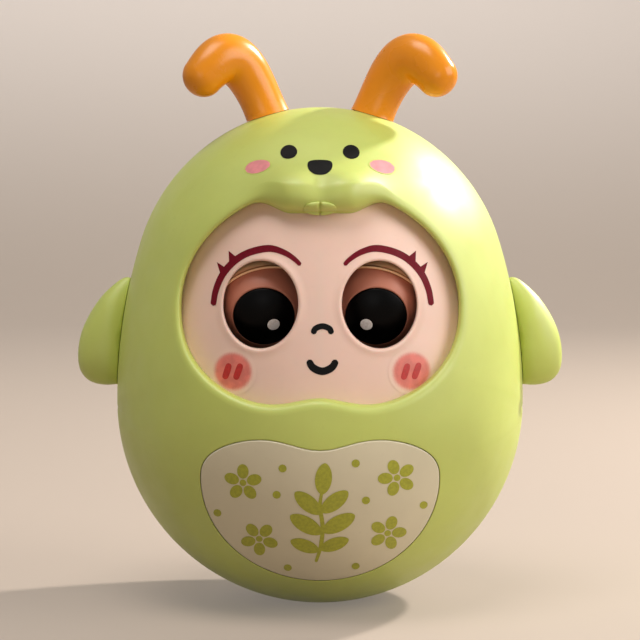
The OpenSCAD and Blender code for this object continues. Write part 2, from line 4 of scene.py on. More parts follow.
import bmesh
import bpy
import numpy as np
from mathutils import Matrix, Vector


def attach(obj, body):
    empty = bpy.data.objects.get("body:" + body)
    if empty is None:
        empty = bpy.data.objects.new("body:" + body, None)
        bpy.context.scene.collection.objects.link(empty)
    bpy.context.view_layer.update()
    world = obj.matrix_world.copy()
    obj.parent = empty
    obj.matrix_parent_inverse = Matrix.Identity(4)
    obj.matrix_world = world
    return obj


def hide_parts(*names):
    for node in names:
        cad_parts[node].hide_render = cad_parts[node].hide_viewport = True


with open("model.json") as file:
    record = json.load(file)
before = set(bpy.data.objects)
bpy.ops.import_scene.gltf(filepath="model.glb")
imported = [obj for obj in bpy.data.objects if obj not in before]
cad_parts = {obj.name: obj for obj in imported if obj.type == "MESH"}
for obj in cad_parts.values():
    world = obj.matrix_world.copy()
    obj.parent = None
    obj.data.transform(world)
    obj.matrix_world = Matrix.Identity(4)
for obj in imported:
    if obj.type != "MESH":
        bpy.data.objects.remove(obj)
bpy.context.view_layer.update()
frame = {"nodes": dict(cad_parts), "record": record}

MM = 0.001
SIDES = ((-1, "left"), (1, "right"))

# Egg: radii, rise of the crown's centre over the belly's, foot and wall
BELLY_R = 50.0
CROWN_R = 46.0
CROWN_RISE = 26.0
FOOT_R = 8.0
WALL_T = 2.2
BELLY_Z = math.sqrt(BELLY_R**2 - FOOT_R**2)
CROWN_Z = BELLY_Z + CROWN_RISE
FLANK_R = (BELLY_R**2 + CROWN_RISE**2 - CROWN_R**2) / (2 * (BELLY_R - CROWN_R))
FLANK_X = FLANK_R - BELLY_R
FLANK_A = math.atan2(CROWN_RISE, FLANK_X)

# Face opening: width, reach up and down, middle, squareness and the bump in its lower edge
FACE_W = 65.2
FACE_TOP = 24.4
FACE_ARCH = 27.4
FACE_LOW = 23.4
FACE_Z = BELLY_Z + 25.2
FACE_POWER = 2.35
FACE_BUMP = 3.0
FACE_BUMP_W = 9.0
FACE_BUMP_TURN = (-0.2, -0.6)

# Lip of the face opening: depth, edge radius, straight rest of its wall, run towards the mask
LIP_DEPTH = 4.0
LIP_R = 2.3
LIP_LAND = 0.2
LIP_RUN = 0.1

# Face mask: depth under the egg's surface, reach behind the opening's edge, margin, search, middle
MASK_INSET = 4.15
MASK_FLANGE = 4.0
MASK_MARGIN = 0.3
MASK_FAR = 90.0
MASK_SNAP = 0.01

# Where the eyes' axle lies, from the frame
JOINTS = {joint["name"]: joint for joint in frame["record"]["behaviour"]["joints"]}
EYE_Y = JOINTS["eye_roll"]["pos_m"][1] / MM

# Eye openings: distance between their middles, height, width, length and lean
EYE_PITCH = 27.6
EYE_Z = FACE_Z + 0.8
EYE_W = 17.5
EYE_H = 20.2
EYE_LEAN = 6.0

# Rim of an eye opening: distances out from its edge, heights over the mask, depths of its wall
RIM_OUT = [0.0, 0.08, 0.22, 0.45, 0.75, 1.1, 1.6, 2.3]
RIM_UP = [-0.3, -0.02, 0.16, 0.27, 0.27, 0.18, 0.06, 0.0]
RIM_DEPTHS = (2.0, 1.2, 0.6)

# Rib behind the nose: half height and thickness, depth under the skin, distance to the axle
RIB_HALF_H = 12.0
RIB_HALF_T = 0.3
RIB_SET = 0.15
RIB_AHEAD = 4.4

# Eyeballs and irises: place, radii, downward gaze, seat, dome and rounded edge
BALL_X = 13.1
BALL_R = 11.4
GAZE_DOWN = 20.5
IRIS_R = 7.15
IRIS_ROOM = 0.12
IRIS_SEAT_T = 0.8
IRIS_PROUD = 0.2
IRIS_DOME_IN = 0.25
IRIS_EDGE = ((0.1, 0.12), (0.0, 0.32), (0.0, 1.1))

# Printed glint on an iris: offsets towards the nose and down, radius, lift
GLINT_IN = 2.35
GLINT_LOW = 1.0
GLINT_R = 1.45
GLINT_LIFT = 0.04

# Lids: radii, room to the mask and its loss with depth, turn, slant, ends of the arcs
LID_IN_R = 11.5
LID_OUT_R = 12.2
LID_ROOM = 0.15
LID_ROOM_LOSS = 0.02
LID_OPEN = 42.0
LID_SLANT = 15.0
LID_OUT_END = 88.4
LID_IN_ENDS = (88.0, 45.0)

# Muzzle: place, spread and height of its two soft lobes, the cleft between them, the back end
MUZZLE_X = 6.4
MUZZLE_Z = 101.2
MUZZLE_WIDE = 5.2
MUZZLE_UP = 3.7
MUZZLE_LOW = 6.5
MUZZLE_H = 3.4
MUZZLE_CLEFT = 0.26
MUZZLE_CLEFT_W = 2.6
MUZZLE_CLEFT_Z = (106.0, 102.0)
MUZZLE_BACK_Y = -5.0

# Rolled lip under the muzzle: height, radius, share of the swell, spans in which it sets in
MUZZLE_EDGE_Z = FACE_Z + FACE_TOP - 2.6
MUZZLE_LIP_R = 5.0
MUZZLE_LIP_SHARE = 0.35
MUZZLE_LIP_X = (17.0, 6.8)
MUZZLE_LIP_TURN = (0.3, 0.6)

# Teeth under the muzzle: half notch, width, place, reach, thickness, roundness, middle, back
TOOTH_NOTCH = 0.08
TOOTH_W = 3.8
TOOTH_Z = 97.5
TOOTH_UP = 1.7
TOOTH_DOWN = 1.55
TOOTH_T = 0.85
TOOTH_POWER = 0.85
TOOTH_MID = 0.32
TOOTH_BACK = (0.05, 0.5, 0.85)
TOOTH_BACK_T = -0.5
TOOTH_ROUND = 1.53

# Belly panel: width, reach, place, squareness, dip in its upper edge, thickness, gap, edge
PANEL_W = 55.6
PANEL_LOW = 25.4
PANEL_UP = 11.2
PANEL_Z = BELLY_Z - 14.8
PANEL_POWER = 2.6
PANEL_DIP = 3.4
PANEL_DIP_W = 9.5
PANEL_T = 0.9
PANEL_GAP = 0.1
PANEL_EDGE_R = 0.35
PANEL_RECESS = 0.2
PANEL_MID_Z = PANEL_Z - 5.0

# Seam between the shells: half width, search, and its edges as distances from the seam and depths
SEAM_Y = 0.35
SEAM_FAR = 120.0
SEAM_EDGE = ((0.18, 0.05), (0.06, 0.18), (0.03, 0.4), (0.03, WALL_T))

# Rear shell: middle of its patch, screws as x and z, their wells
BACK_Z = 56.0
BACK_HUB_R = 1.5
SHELL_SCREWS = [(-24.84, 103.37), (24.84, 103.37), (-30.0, 37.36), (30.0, 37.36)]
SCREW_HEAD_R = 2.75
SCREW_SEAT_Y = 4.0
SCREW_HOLE_R = 1.45
WELL_ROUND = 0.4
WELL_LAP = 0.05
WELL_SUNK = 1.4
CUTTER_PAST = 5.0

# Ears: root, control points from it, radii, swell of the foot, flat side, tip
EAR_X = 13.4
EAR_CTRL = np.array([[-0.7, 0, -0.4], [6.4, 0.5, 17.6], [10.2, -4.6, 15.6], [15, -7, 9.4]])
EAR_ROOT_R = 4.85
EAR_TIP_R = 5.2
EAR_BEND_R = 1.1
EAR_FOOT = 0.7
EAR_FOOT_RUN = 0.06
EAR_FLAT = 0.88
EAR_FACE = np.array([1.0, -0.35, 0.4])
EAR_TIP_LONG = 0.95
EAR_TIP_ANGLES = (8, 89.5)

# Arms: outline as x and z, middle, half thickness, section, moulding line, taper to the root
ARM_EDGE = [(47.4, 79.6), (52.4, 76.4), (56.2, 71.6), (58.8, 66.2), (59.75, 60.8), (59.1, 56.4),
            (56.4, 53.7), (51.6, 53.0), (46.5, 54.5), (43.5, 60.0), (43.0, 68.0), (43.6, 76.0)]
ARM_MID = np.array([50.5, 65.0])
ARM_HALF_T = 5.5
ARM_EDGE_POWER = 0.8
ARM_SIDE_POWER = 0.9
ARM_ANGLES = [0.8, 2.5, 7, 14, 23, 33, 44, 56, 68, 80, 89]
ARM_SEAM = 0.12
ARM_TAPER = 0.5
ARM_FULL_X = 53.0
ARM_ROOT_X = 45.0

# Gap that ears and arms keep to the shells
SEAT_GAP = 0.12

# Prints: lift, smallest ring of a patch, rows across a line, points along it, full part, blunt end, leaf
PRINT_LIFT = 0.06
BLOT_HEART = 0.02
STROKE_ROWS = 7
STROKE_STEP = 0.25
STROKE_LEAST = 40
STROKE_FULL = (0.3, 0.7)
STROKE_BLUNT = 0.0004
LEAF_POWER = 1.2

# Fineness: halvings, points round loops and along seams, rows of patches, crowding at edges
HALVINGS = 50
LOOP_STEPS = 240
SEAM_STEPS = 181
SPLIT_STEPS = 121
FACE_ROWS = 60
PANEL_ROWS = 44
BACK_ROWS = 52
MASK_ROWS = 26
PATCH_EASE = 1.25

# Start of turned profiles by their axis, in degrees and mm
AXIS_ANGLE = 0.02
AXIS_R = 0.01


def ramp(low, high, value):
    """Smooth step from 0 at low to 1 at high."""
    t = np.clip((np.asarray(value, float) - low) / (high - low), 0.0, 1.0)
    return t * t * (3.0 - 2.0 * t)


def unit(v):
    """Vectors scaled to length 1."""
    v = np.asarray(v, float)
    return v / np.maximum(np.linalg.norm(v, axis=-1, keepdims=True), 1e-9)


def around(steps):
    """Angles of evenly spaced points round a circle."""
    return np.arange(steps) * 2 * np.pi / steps


def bend(start, corner, end, t):
    """Points on a curve from start to end that bends towards the corner."""
    return (1 - t) ** 2 * start + 2 * t * (1 - t) * corner + t**2 * end


def reach(outside, count, far):
    """How far each ray runs before it is outside a shape."""
    low, high = np.zeros(count), np.full(count, far)
    for _ in range(HALVINGS):
        r = (low + high) / 2
        past = outside(r)
        high = np.where(past, r, high)
        low = np.where(past, low, r)
    return low


def egg_field(p):
    """Distance outside the egg, and the outward direction, at each point in mm."""
    p = np.asarray(p, float)
    rho = np.hypot(p[..., 0], p[..., 1])
    dz = p[..., 2] - BELLY_Z
    low = dz < 0
    flank = ~low & (np.arctan2(dz, rho + FLANK_X) < FLANK_A)
    side = np.where(flank, rho + FLANK_X, rho)
    rise = np.where(low | flank, dz, p[..., 2] - CROWN_Z)
    radius = np.where(low, BELLY_R, np.where(flank, FLANK_R, CROWN_R))
    length = np.maximum(np.hypot(side, rise), 1e-9)
    out = side / length
    safe = np.maximum(rho, 1e-9)
    normal = np.stack([out * p[..., 0] / safe, out * p[..., 1] / safe, rise / length], -1)
    return length - radius, normal


def on_egg(p, inset=0.0):
    """Points moved onto the egg's surface, or onto that surface moved in by inset."""
    d, n = egg_field(p)
    q = p - n * (d + inset)[..., None]
    q[..., 2] = np.maximum(q[..., 2], max(inset, 0.0))
    return q


def egg_r(z, inset=0.0):
    """Radius of the egg at height z."""
    z = np.asarray(z, float)
    shoulder = BELLY_Z + (FLANK_R - inset) * math.sin(FLANK_A)

    def out(r, mid_z):
        return np.sqrt(np.maximum((r - inset) ** 2 - (z - mid_z) ** 2, 0.0))

    high = np.where(z < shoulder, out(FLANK_R, BELLY_Z) - FLANK_X, out(CROWN_R, CROWN_Z))
    return np.where(z < BELLY_Z, out(BELLY_R, BELLY_Z), high)


def front(x, z, inset=0.0):
    """Points on the front of the egg at x and z."""
    x, z = np.broadcast_arrays(np.asarray(x, float), np.asarray(z, float))
    depth = np.sqrt(np.maximum(egg_r(z, inset) ** 2 - x**2, 0.0))
    return np.stack([x, -depth, z], -1)


def hood_swell(x, z):
    """How far the muzzle's two lobes swell out over the egg at x and z."""
    rise = (z - MUZZLE_Z) / np.where(z > MUZZLE_Z, MUZZLE_UP, MUZZLE_LOW)
    lobes = sum(np.exp(-0.5 * (((x - c) / MUZZLE_WIDE) ** 2 + rise**2)) for c in (-MUZZLE_X, MUZZLE_X))
    cleft = 1 - MUZZLE_CLEFT * np.exp(-((x / MUZZLE_CLEFT_W) ** 2)) * ramp(*MUZZLE_CLEFT_Z, z)
    return MUZZLE_H * lobes * cleft


def hood(x, z, lift=0.0):
    """Points on the front of the hood at x and z, with the muzzle."""
    p = front(x, z)
    _d, n = egg_field(p)
    return p + n * (hood_swell(p[..., 0], p[..., 2]) + lift)[..., None]


def rim_height(x, z):
    """Height of the eye openings' rims over the mask at x and z."""
    lean = math.radians(EYE_LEAN)
    dx, dz = np.abs(x) - EYE_PITCH / 2, np.asarray(z, float) - EYE_Z
    u = dx * math.cos(lean) + dz * math.sin(lean)
    v = dz * math.cos(lean) - dx * math.sin(lean)
    share = np.maximum(np.hypot(u / (EYE_W / 2), v / (EYE_H / 2)), 1e-6)
    return np.interp(np.hypot(u, v) * (1 - 1 / share), RIM_OUT, RIM_UP)


def mask_skin(x, z, lift=0.0):
    """Points on the front of the face mask at x and z."""
    return front(x, z, MASK_INSET - lift - rim_height(x, z))


def panel_skin(x, z, lift=0.0):
    """Points on the front of the belly panel at x and z."""
    return front(x, z, -lift)


def ring_faces(rows, cols, first=0, close=True, flip=False):
    """Quads of a grid of rows by cols points, closed around the rows if close."""
    faces = []
    for i in range(rows - 1):
        for j in range(cols if close else cols - 1):
            a = first + i * cols + j
            b = first + i * cols + (j + 1) % cols
            quad = [a, b, b + cols, a + cols]
            faces.append(quad[::-1] if flip else quad)
    return faces


def capped(grid, both=False):
    """Faces of a grid closed around its rows, with a face over its last row or both ends."""
    rows, cols = len(grid), len(grid[0])
    ends = (0, rows - 1) if both else (rows - 1,)
    return ring_faces(rows, cols) + [list(range(row * cols, (row + 1) * cols)) for row in ends]


def joined(grids):
    """Points and faces of grids, each with close and flip as in ring_faces."""
    points, faces = [], []
    for grid, close, flip in grids:
        faces += ring_faces(len(grid), grid.shape[1], sum(map(len, points)), close, flip)
        points.append(grid.reshape(-1, 3))
    return np.concatenate(points), faces


def in_scene(name, data):
    """Object in the scene with this data."""
    obj = bpy.data.objects.new(name, data)
    bpy.context.scene.collection.objects.link(obj)
    return obj


def mesh_object(name, points, faces, look):
    """Smooth mesh of points in mm, in the scene."""
    mesh = bpy.data.meshes.new(name)
    places = np.asarray(points, float).reshape(-1, 3) * MM
    mesh.from_pydata(places.tolist(), [], faces, shade_flat=False)
    if look:
        mesh.materials.append(look.material)
    return in_scene(name, mesh)


def make(name, points, faces, look, body, slot, nodes=(), edge=None):
    """Piece from points in mm that rides on a body and stands for CAD nodes."""
    obj = mesh_object(name, points, faces, look)
    if edge is not None:
        obj.data.attributes.new("edge", "FLOAT", "POINT").data.foreach_set("value", np.ravel(edge))
    merge(obj)
    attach(obj, body)
    if nodes:
        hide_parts(*nodes)
    return obj


def merge(obj, gap=0.004):
    """Weld doubled points of a mesh and turn its faces outward."""
    bm = bmesh.new()
    bm.from_mesh(obj.data)
    bmesh.ops.remove_doubles(bm, verts=bm.verts, dist=gap * MM)
    bmesh.ops.dissolve_degenerate(bm, edges=bm.edges, dist=gap * MM * 0.1)
    bmesh.ops.recalc_face_normals(bm, faces=bm.faces)
    bm.to_mesh(obj.data)
    bm.free()
    obj.data.update()


def crease(obj, degrees=38.0):
    """Mark edges that turn more than this as sharp."""
    bm = bmesh.new()
    bm.from_mesh(obj.data)
    for e in bm.edges:
        e.smooth = len(e.link_faces) == 2 and e.calc_face_angle() < math.radians(degrees)
    bm.to_mesh(obj.data)
    bm.free()


def cut(obj, cutter):
    """Take one closed mesh from another."""
    modifier = obj.modifiers.new("cut", "BOOLEAN")
    modifier.operation = "DIFFERENCE"
    modifier.solver = "EXACT"
    modifier.object = cutter
    depsgraph = bpy.context.evaluated_depsgraph_get()
    cut_mesh = bpy.data.meshes.new_from_object(obj.evaluated_get(depsgraph))
    obj.modifiers.clear()
    obj.data = cut_mesh
    bpy.data.objects.remove(cutter)


def muzzle_share(x, s):
    """How far the muzzle's lip replaces the face opening's upper edge, at x."""
    return ramp(*MUZZLE_LIP_X, np.abs(x)) * ramp(*MUZZLE_LIP_TURN, s)


def face_edge(angle, grow):
    """x and z on the face opening's outline, grown outward."""
    a = FACE_W / 2 + grow
    c, s = np.cos(angle), np.sin(angle)
    up = 1 / np.hypot(c / a, s / (FACE_ARCH + grow))
    low = (np.abs(c / a) ** FACE_POWER + np.abs(s / (FACE_LOW + grow)) ** FACE_POWER) ** (-1 / FACE_POWER)
    r = np.where(s > 0, up, low)
    x, z = r * c, FACE_Z + r * s
    z = z + (MUZZLE_EDGE_Z + grow - z) * muzzle_share(x, s)
    return x, z + FACE_BUMP * np.exp(-((x / FACE_BUMP_W) ** 2)) * ramp(*FACE_BUMP_TURN, s)


def panel_edge(grow):
    """x and z on the belly panel's outline, grown outward."""
    t = around(LOOP_STEPS)
    c, s = np.cos(t), np.sin(t)
    half = PANEL_W / 2 + grow
    bent = np.sign(c) * np.abs(c) ** (2 / PANEL_POWER)
    x = half * np.where(s >= 0, bent, c)
    up = PANEL_UP * np.abs(s) ** (2 / PANEL_POWER) - PANEL_DIP * s * np.exp(-((x / PANEL_DIP_W) ** 2))
    return x, PANEL_Z + np.where(s >= 0, up + grow * s, (PANEL_LOW + grow) * s)


def at_angles(x, z, mid_z, angle):
    """Points of a closed outline around x = 0 and mid_z, at the given angles."""
    own = np.arctan2(z - mid_z, x)
    order = np.argsort(own)
    r = np.interp(angle, own[order], np.hypot(x, z - mid_z)[order], period=2 * np.pi)
    return r * np.cos(angle), mid_z + r * np.sin(angle)


def patch(inner, outer, steps, ease=1.0):
    """Rows of surface points on the egg, from one loop of points to another."""
    t = (np.linspace(0.0, 1.0, steps) ** ease)[:, None, None]
    return on_egg(inner[None] * (1 - t) + outer[None] * t)


def roll_over(x, z, start, radius, depth, arc_steps, wall_steps):
    """Rows up an inner wall along Y and over its rounded edge to the start points."""
    insets = np.linspace(depth, radius, wall_steps, endpoint=False)
    rows = [front(x, z, inset) for inset in insets]
    low, corner = front(x, z, radius), front(x, z)
    for t in np.linspace(0.0, 1.0, arc_steps, endpoint=False):
        rows.append(bend(low, corner, start, t))
    return rows


def seam_rows(loop, side):
    """Rows from a shell's surface over its edge into the seam, on one side of y = 0."""
    rows = []
    for y, inset in SEAM_EDGE:
        q = loop * [1, 0, 1] + [0, side * y, 0]
        rows.append(on_egg(q, inset))
    return rows


# Where the front shell's upper and lower parts meet: height, half width, share short of the ends
SPLIT_Z = 47.6
SPLIT_X = float(egg_r(SPLIT_Z))
SPLIT_KEEP = 0.99999


def split_line(count):
    """Points across the front from right to left, between face opening and panel."""
    turn = math.atan2(SPLIT_X, FACE_Z - SPLIT_Z)
    x = (FACE_Z - SPLIT_Z) * np.tan(np.linspace(turn, -turn, count)) * SPLIT_KEEP
    line = front(x, SPLIT_Z)
    line[[0, -1]] = on_egg(np.array([[SPLIT_X, -SEAM_Y, SPLIT_Z], [-SPLIT_X, -SEAM_Y, SPLIT_Z]]))
    return line


def seam_arc(mid_z, a0, a1, count, side):
    """Points along the seam, at even angles about mid_z from a0 to a1."""
    angle = np.linspace(a0, a1, count)
    c, s = np.cos(angle), np.sin(angle)

    def outside(r):
        d, _n = egg_field(np.stack([r * c, 0 * r, mid_z + r * s], -1))
        return (d > 0) | (mid_z + r * s < 0)

    r = reach(outside, count, SEAM_FAR)
    return on_egg(np.stack([r * c, np.full(count, side * SEAM_Y), mid_z + r * s], -1))


def front_shell(look):
    """Front half of the hood, round the face opening and the belly panel."""
    line = split_line(SPLIT_STEPS)
    corner = math.atan2(SPLIT_Z - FACE_Z, SPLIT_X)
    upper = seam_arc(FACE_Z, np.pi - corner, corner, SEAM_STEPS, -1)
    upper[[0, -1]] = line[[-1, 0]]
    corner = math.atan2(SPLIT_Z - PANEL_MID_Z, SPLIT_X)
    lower = seam_arc(PANEL_MID_Z, corner, -np.pi - corner, SEAM_STEPS, -1)
    lower[[0, -1]] = line[[0, -1]]

    loop = np.concatenate([line[:-1], upper[:-1]])
    angle = np.arctan2(loop[:, 2] - FACE_Z, loop[:, 0])
    x, z = face_edge(angle, 0.0)
    lip_r = LIP_R + (MUZZLE_LIP_R - LIP_R) * muzzle_share(x, np.sin(angle))
    edge = front(*face_edge(angle, lip_r))
    wall_steps, arc_steps = 4, 14
    round_r = np.minimum(lip_r, LIP_DEPTH - LIP_LAND)
    rows = roll_over(x, z, edge, round_r, LIP_DEPTH + LIP_RUN, arc_steps, wall_steps)
    grid = np.concatenate([np.stack(rows), patch(edge, loop, FACE_ROWS, PATCH_EASE)])
    swell_at = grid.copy()
    swell_at[: len(rows)] = edge
    _d, n = egg_field(swell_at)
    wall_fade = np.linspace(0.0, MUZZLE_LIP_SHARE, wall_steps, endpoint=False)
    arc_fade = np.linspace(MUZZLE_LIP_SHARE, 1.0, arc_steps, endpoint=False)
    fade = np.concatenate([wall_fade, arc_fade, np.ones(FACE_ROWS)])
    swell = np.where(swell_at[..., 1] < MUZZLE_BACK_Y, hood_swell(swell_at[..., 0], swell_at[..., 2]), 0.0)
    grids = [(grid + n * (swell * fade[:, None])[..., None], True, False)]

    loop = np.concatenate([line[::-1][:-1], lower[:-1]])
    angle = np.arctan2(loop[:, 2] - PANEL_MID_Z, loop[:, 0])
    edge = front(*at_angles(*panel_edge(PANEL_GAP + PANEL_EDGE_R), PANEL_MID_Z, angle))
    x, z = at_angles(*panel_edge(PANEL_GAP), PANEL_MID_Z, angle)
    rows = roll_over(x, z, edge, PANEL_EDGE_R, PANEL_T + PANEL_RECESS, 6, 2)
    grids.append((np.concatenate([np.stack(rows), patch(edge, loop, PANEL_ROWS, PATCH_EASE)]), True, False))
    for seam in (upper, lower):
        grids.append((np.stack([seam, *seam_rows(seam, -1)]), False, False))
    make("front_shell_skin", *joined(grids), look, "toy", "hood_green", ["front_shell"])


def muzzle_lip(x, z):
    """Points on the muzzle's rolled lip at x and z."""
    t = np.linspace(0.0, 1.0, 40)[:, None]
    points = []
    for xi, zi in zip(x, z):
        low = front(xi, MUZZLE_EDGE_Z, LIP_DEPTH - LIP_LAND)
        corner = front(xi, MUZZLE_EDGE_Z)
        start = front(xi, MUZZLE_EDGE_Z + MUZZLE_LIP_R)
        _d, n = egg_field(start)
        line = bend(low, corner, start, t)
        share = MUZZLE_LIP_SHARE + (1 - MUZZLE_LIP_SHARE) * t
        line = line + n * hood_swell(start[0], start[2]) * share
        points.append([xi, np.interp(zi, line[:, 2], line[:, 1]), zi])
    return np.array(points)


def tooth(side, name, look):
    """Small rounded petal on the muzzle's lip, straight along the notch."""
    q = np.linspace(-np.pi / 2, np.pi / 2, 27)
    tall = np.where(q > 0, TOOTH_UP, TOOTH_DOWN)
    round_x = TOOTH_NOTCH + TOOTH_W * np.cos(q) ** TOOTH_POWER
    round_z = TOOTH_Z + tall * np.sin(q)
    notch_z = np.linspace(TOOTH_Z + TOOTH_UP, TOOTH_Z - TOOTH_DOWN, 13)[1:-1]
    notch_x = np.full(len(notch_z), TOOTH_NOTCH)
    edge = np.stack([np.append(round_x, notch_x), np.append(round_z, notch_z)], -1)
    mid = np.array([TOOTH_NOTCH + TOOTH_MID * TOOTH_W, TOOTH_Z])
    levels = [(share, TOOTH_BACK_T) for share in TOOTH_BACK]
    levels += [(share, 1.0) for share in np.cos(np.linspace(0, TOOTH_ROUND, 10))]
    rows = []
    for share, way in levels:
        flat = mid + (edge - mid) * share
        ring = muzzle_lip(flat[:, 0], flat[:, 1])
        ring[:, 1] -= way * TOOTH_T * math.sqrt(1 - share**2)
        rows.append(ring * [side, 1, 1])
    make(f"{name}_muzzle_tooth", rows, capped(rows, both=True), look, "toy", "hood_green")


def turned(profile, origin, axis, steps=72):
    """Points and faces of a profile of radii and heights, turned about an axis."""
    axis = unit(axis)
    helper = np.array([1.0, 0, 0]) if abs(axis[0]) < 0.7 else np.array([0, 0, 1.0])
    e1 = unit(helper - axis * (helper @ axis))
    e2 = np.cross(axis, e1)
    a = around(steps)
    ring = np.cos(a)[:, None] * e1 + np.sin(a)[:, None] * e2
    grid = [np.asarray(origin) + r * ring + h * axis for r, h in profile]
    return np.concatenate(grid), ring_faces(len(profile), steps)


def well(profile, at):
    """Points and faces of a screw's well, from radii and depths along Y, at x and z."""
    return turned([(r, -y) for r, y in profile], (at[0], 0, at[1]), (0, -1, 0), 48)


def rear_shell(look):
    """Rear half of the hood with the wells of its four screws."""
    count = LOOP_STEPS
    seam = seam_arc(BACK_Z, np.pi / 2, -1.5 * np.pi, count + 1, 1)[:-1]
    a = np.linspace(np.pi / 2, -1.5 * np.pi, count, endpoint=False)
    hub = front(BACK_HUB_R * np.cos(a), BACK_Z + BACK_HUB_R * np.sin(a)) * [1, -1, 1]
    outer = patch(hub, seam, BACK_ROWS)
    inner = on_egg(outer[-2::-1].copy(), WALL_T)
    pole = np.repeat(front(0.0, BACK_Z)[None] * [1, -1, 1], count, 0)
    rows = [pole[None], outer, np.stack(seam_rows(seam, 1)), inner, on_egg(pole, WALL_T)[None]]
    grid = np.concatenate(rows)
    faces = ring_faces(len(grid), count)
    shell = make("rear_shell_skin", grid, faces, look, "toy", "hood_green", ["rear_shell"])
    past = BELLY_R + CUTTER_PAST
    bore = [(AXIS_R, SCREW_SEAT_Y), (SCREW_HEAD_R, SCREW_SEAT_Y), (SCREW_HEAD_R, past), (AXIS_R, past)]
    for at in SHELL_SCREWS:
        cut(shell, make("bore_cutter", *well(bore, at), None, "toy", "hood_green"))
    crease(shell)
    for i, at in enumerate(SHELL_SCREWS):
        top = math.sqrt(float(egg_r(at[1], WELL_SUNK)) ** 2 - at[0] ** 2)
        r = SCREW_HEAD_R + WELL_LAP
        floor = [(SCREW_HOLE_R, SCREW_SEAT_Y), (r - WELL_ROUND, SCREW_SEAT_Y)]
        wall = [(r, SCREW_SEAT_Y + WELL_ROUND), (r, top)]
        crease(make(f"rear_shell_bore_{i + 1}", *well(floor + wall, at), look, "toy", "hood_green"))


def eye_edge(side, angle, grow):
    """x and z on the outline of an eye opening, grown outward."""
    r = 1 / np.hypot(np.cos(angle) / (EYE_W / 2 + grow), np.sin(angle) / (EYE_H / 2 + grow))
    x, z = r * np.cos(angle), r * np.sin(angle)
    lean = math.radians(EYE_LEAN)
    x, z = x * math.cos(lean) - z * math.sin(lean), z * math.cos(lean) + x * math.sin(lean)
    return side * (EYE_PITCH / 2 + x), EYE_Z + z


def clear_of_lid(points, side, inset):
    """Points of an eye opening's wall, moved forward where the closing lid would reach them."""
    room = LID_OUT_R + LID_ROOM - LID_ROOM_LOSS * inset
    off = np.hypot(points[:, 0] - side * BALL_X, points[:, 2] - EYE_Z)
    lid_y = EYE_Y - np.sqrt(np.maximum(room**2 - off**2, 0.0))
    points[:, 1] = np.where(off < room, np.minimum(points[:, 1], lid_y), points[:, 1])
    return points


def mask_outline(angle):
    """x and z on the outline of the mask's right half, at angles about its eye."""
    c, s = np.cos(angle), np.sin(angle)
    flange = MASK_FLANGE - MASK_MARGIN
    a = FACE_W / 2 + flange

    def outside(r):
        x, z = EYE_PITCH / 2 + r * c, EYE_Z + r * s - FACE_Z
        over = (z > FACE_TOP + flange) | (np.hypot(x / a, z / (FACE_ARCH + flange)) > 1)
        under = (np.abs(x) / a) ** FACE_POWER + (np.abs(z) / (FACE_LOW + flange)) ** FACE_POWER > 1
        return (x < 0) | np.where(z > 0, over, under)

    r = reach(outside, len(angle), MASK_FAR)
    x = EYE_PITCH / 2 + r * c
    x[x < MASK_SNAP] = 0.0
    return x, EYE_Z + r * s


def nose_rib():
    """Grid of a thin rib that parts the two eye openings."""
    z = np.linspace(EYE_Z - RIB_HALF_H, EYE_Z + RIB_HALF_H, 20)
    ahead = front(np.zeros(len(z)), z, MASK_INSET + RIB_SET)[:, 1]
    back = np.full(len(z), EYE_Y - RIB_AHEAD)
    corners = ((-RIB_HALF_T, ahead), (RIB_HALF_T, ahead), (RIB_HALF_T, back), (-RIB_HALF_T, back))
    return np.stack([np.stack([np.full(len(z), x), y, z], -1) for x, y in corners], 1)


def face_mask(look):
    """Doll's face behind the opening, in two halves, each round an eye opening."""
    angle = around(LOOP_STEPS)
    edge_x, edge_z = mask_outline(angle)
    grids = []
    for side, _name in SIDES:
        rows = []
        x, z = eye_edge(side, angle, 0.0)
        for inset in RIM_DEPTHS:
            rows.append(clear_of_lid(front(x, z, MASK_INSET + inset), side, inset))
        for grow in RIM_OUT:
            rows.append(mask_skin(*eye_edge(side, angle, grow)))
        x0, z0 = eye_edge(side, angle, RIM_OUT[-1])
        for t in np.linspace(0.0, 1.0, MASK_ROWS)[1:]:
            rows.append(mask_skin(x0 * (1 - t) + side * edge_x * t, z0 * (1 - t) + edge_z * t))
        grids.append((np.stack(rows), True, side < 0))
    grids.append((nose_rib(), True, False))
    make("face_mask_skin", *joined(grids), look, "toy", "face_skin", ["face_mask"])


def arc(r, a0, a1, steps, at=(0.0, 0.0)):
    """Profile points on a circle, from angle a0 to a1 off the axis, in degrees."""
    a = np.radians(np.linspace(a0, a1, steps))
    return [(at[0] + r * math.sin(t), at[1] + r * math.cos(t)) for t in a]


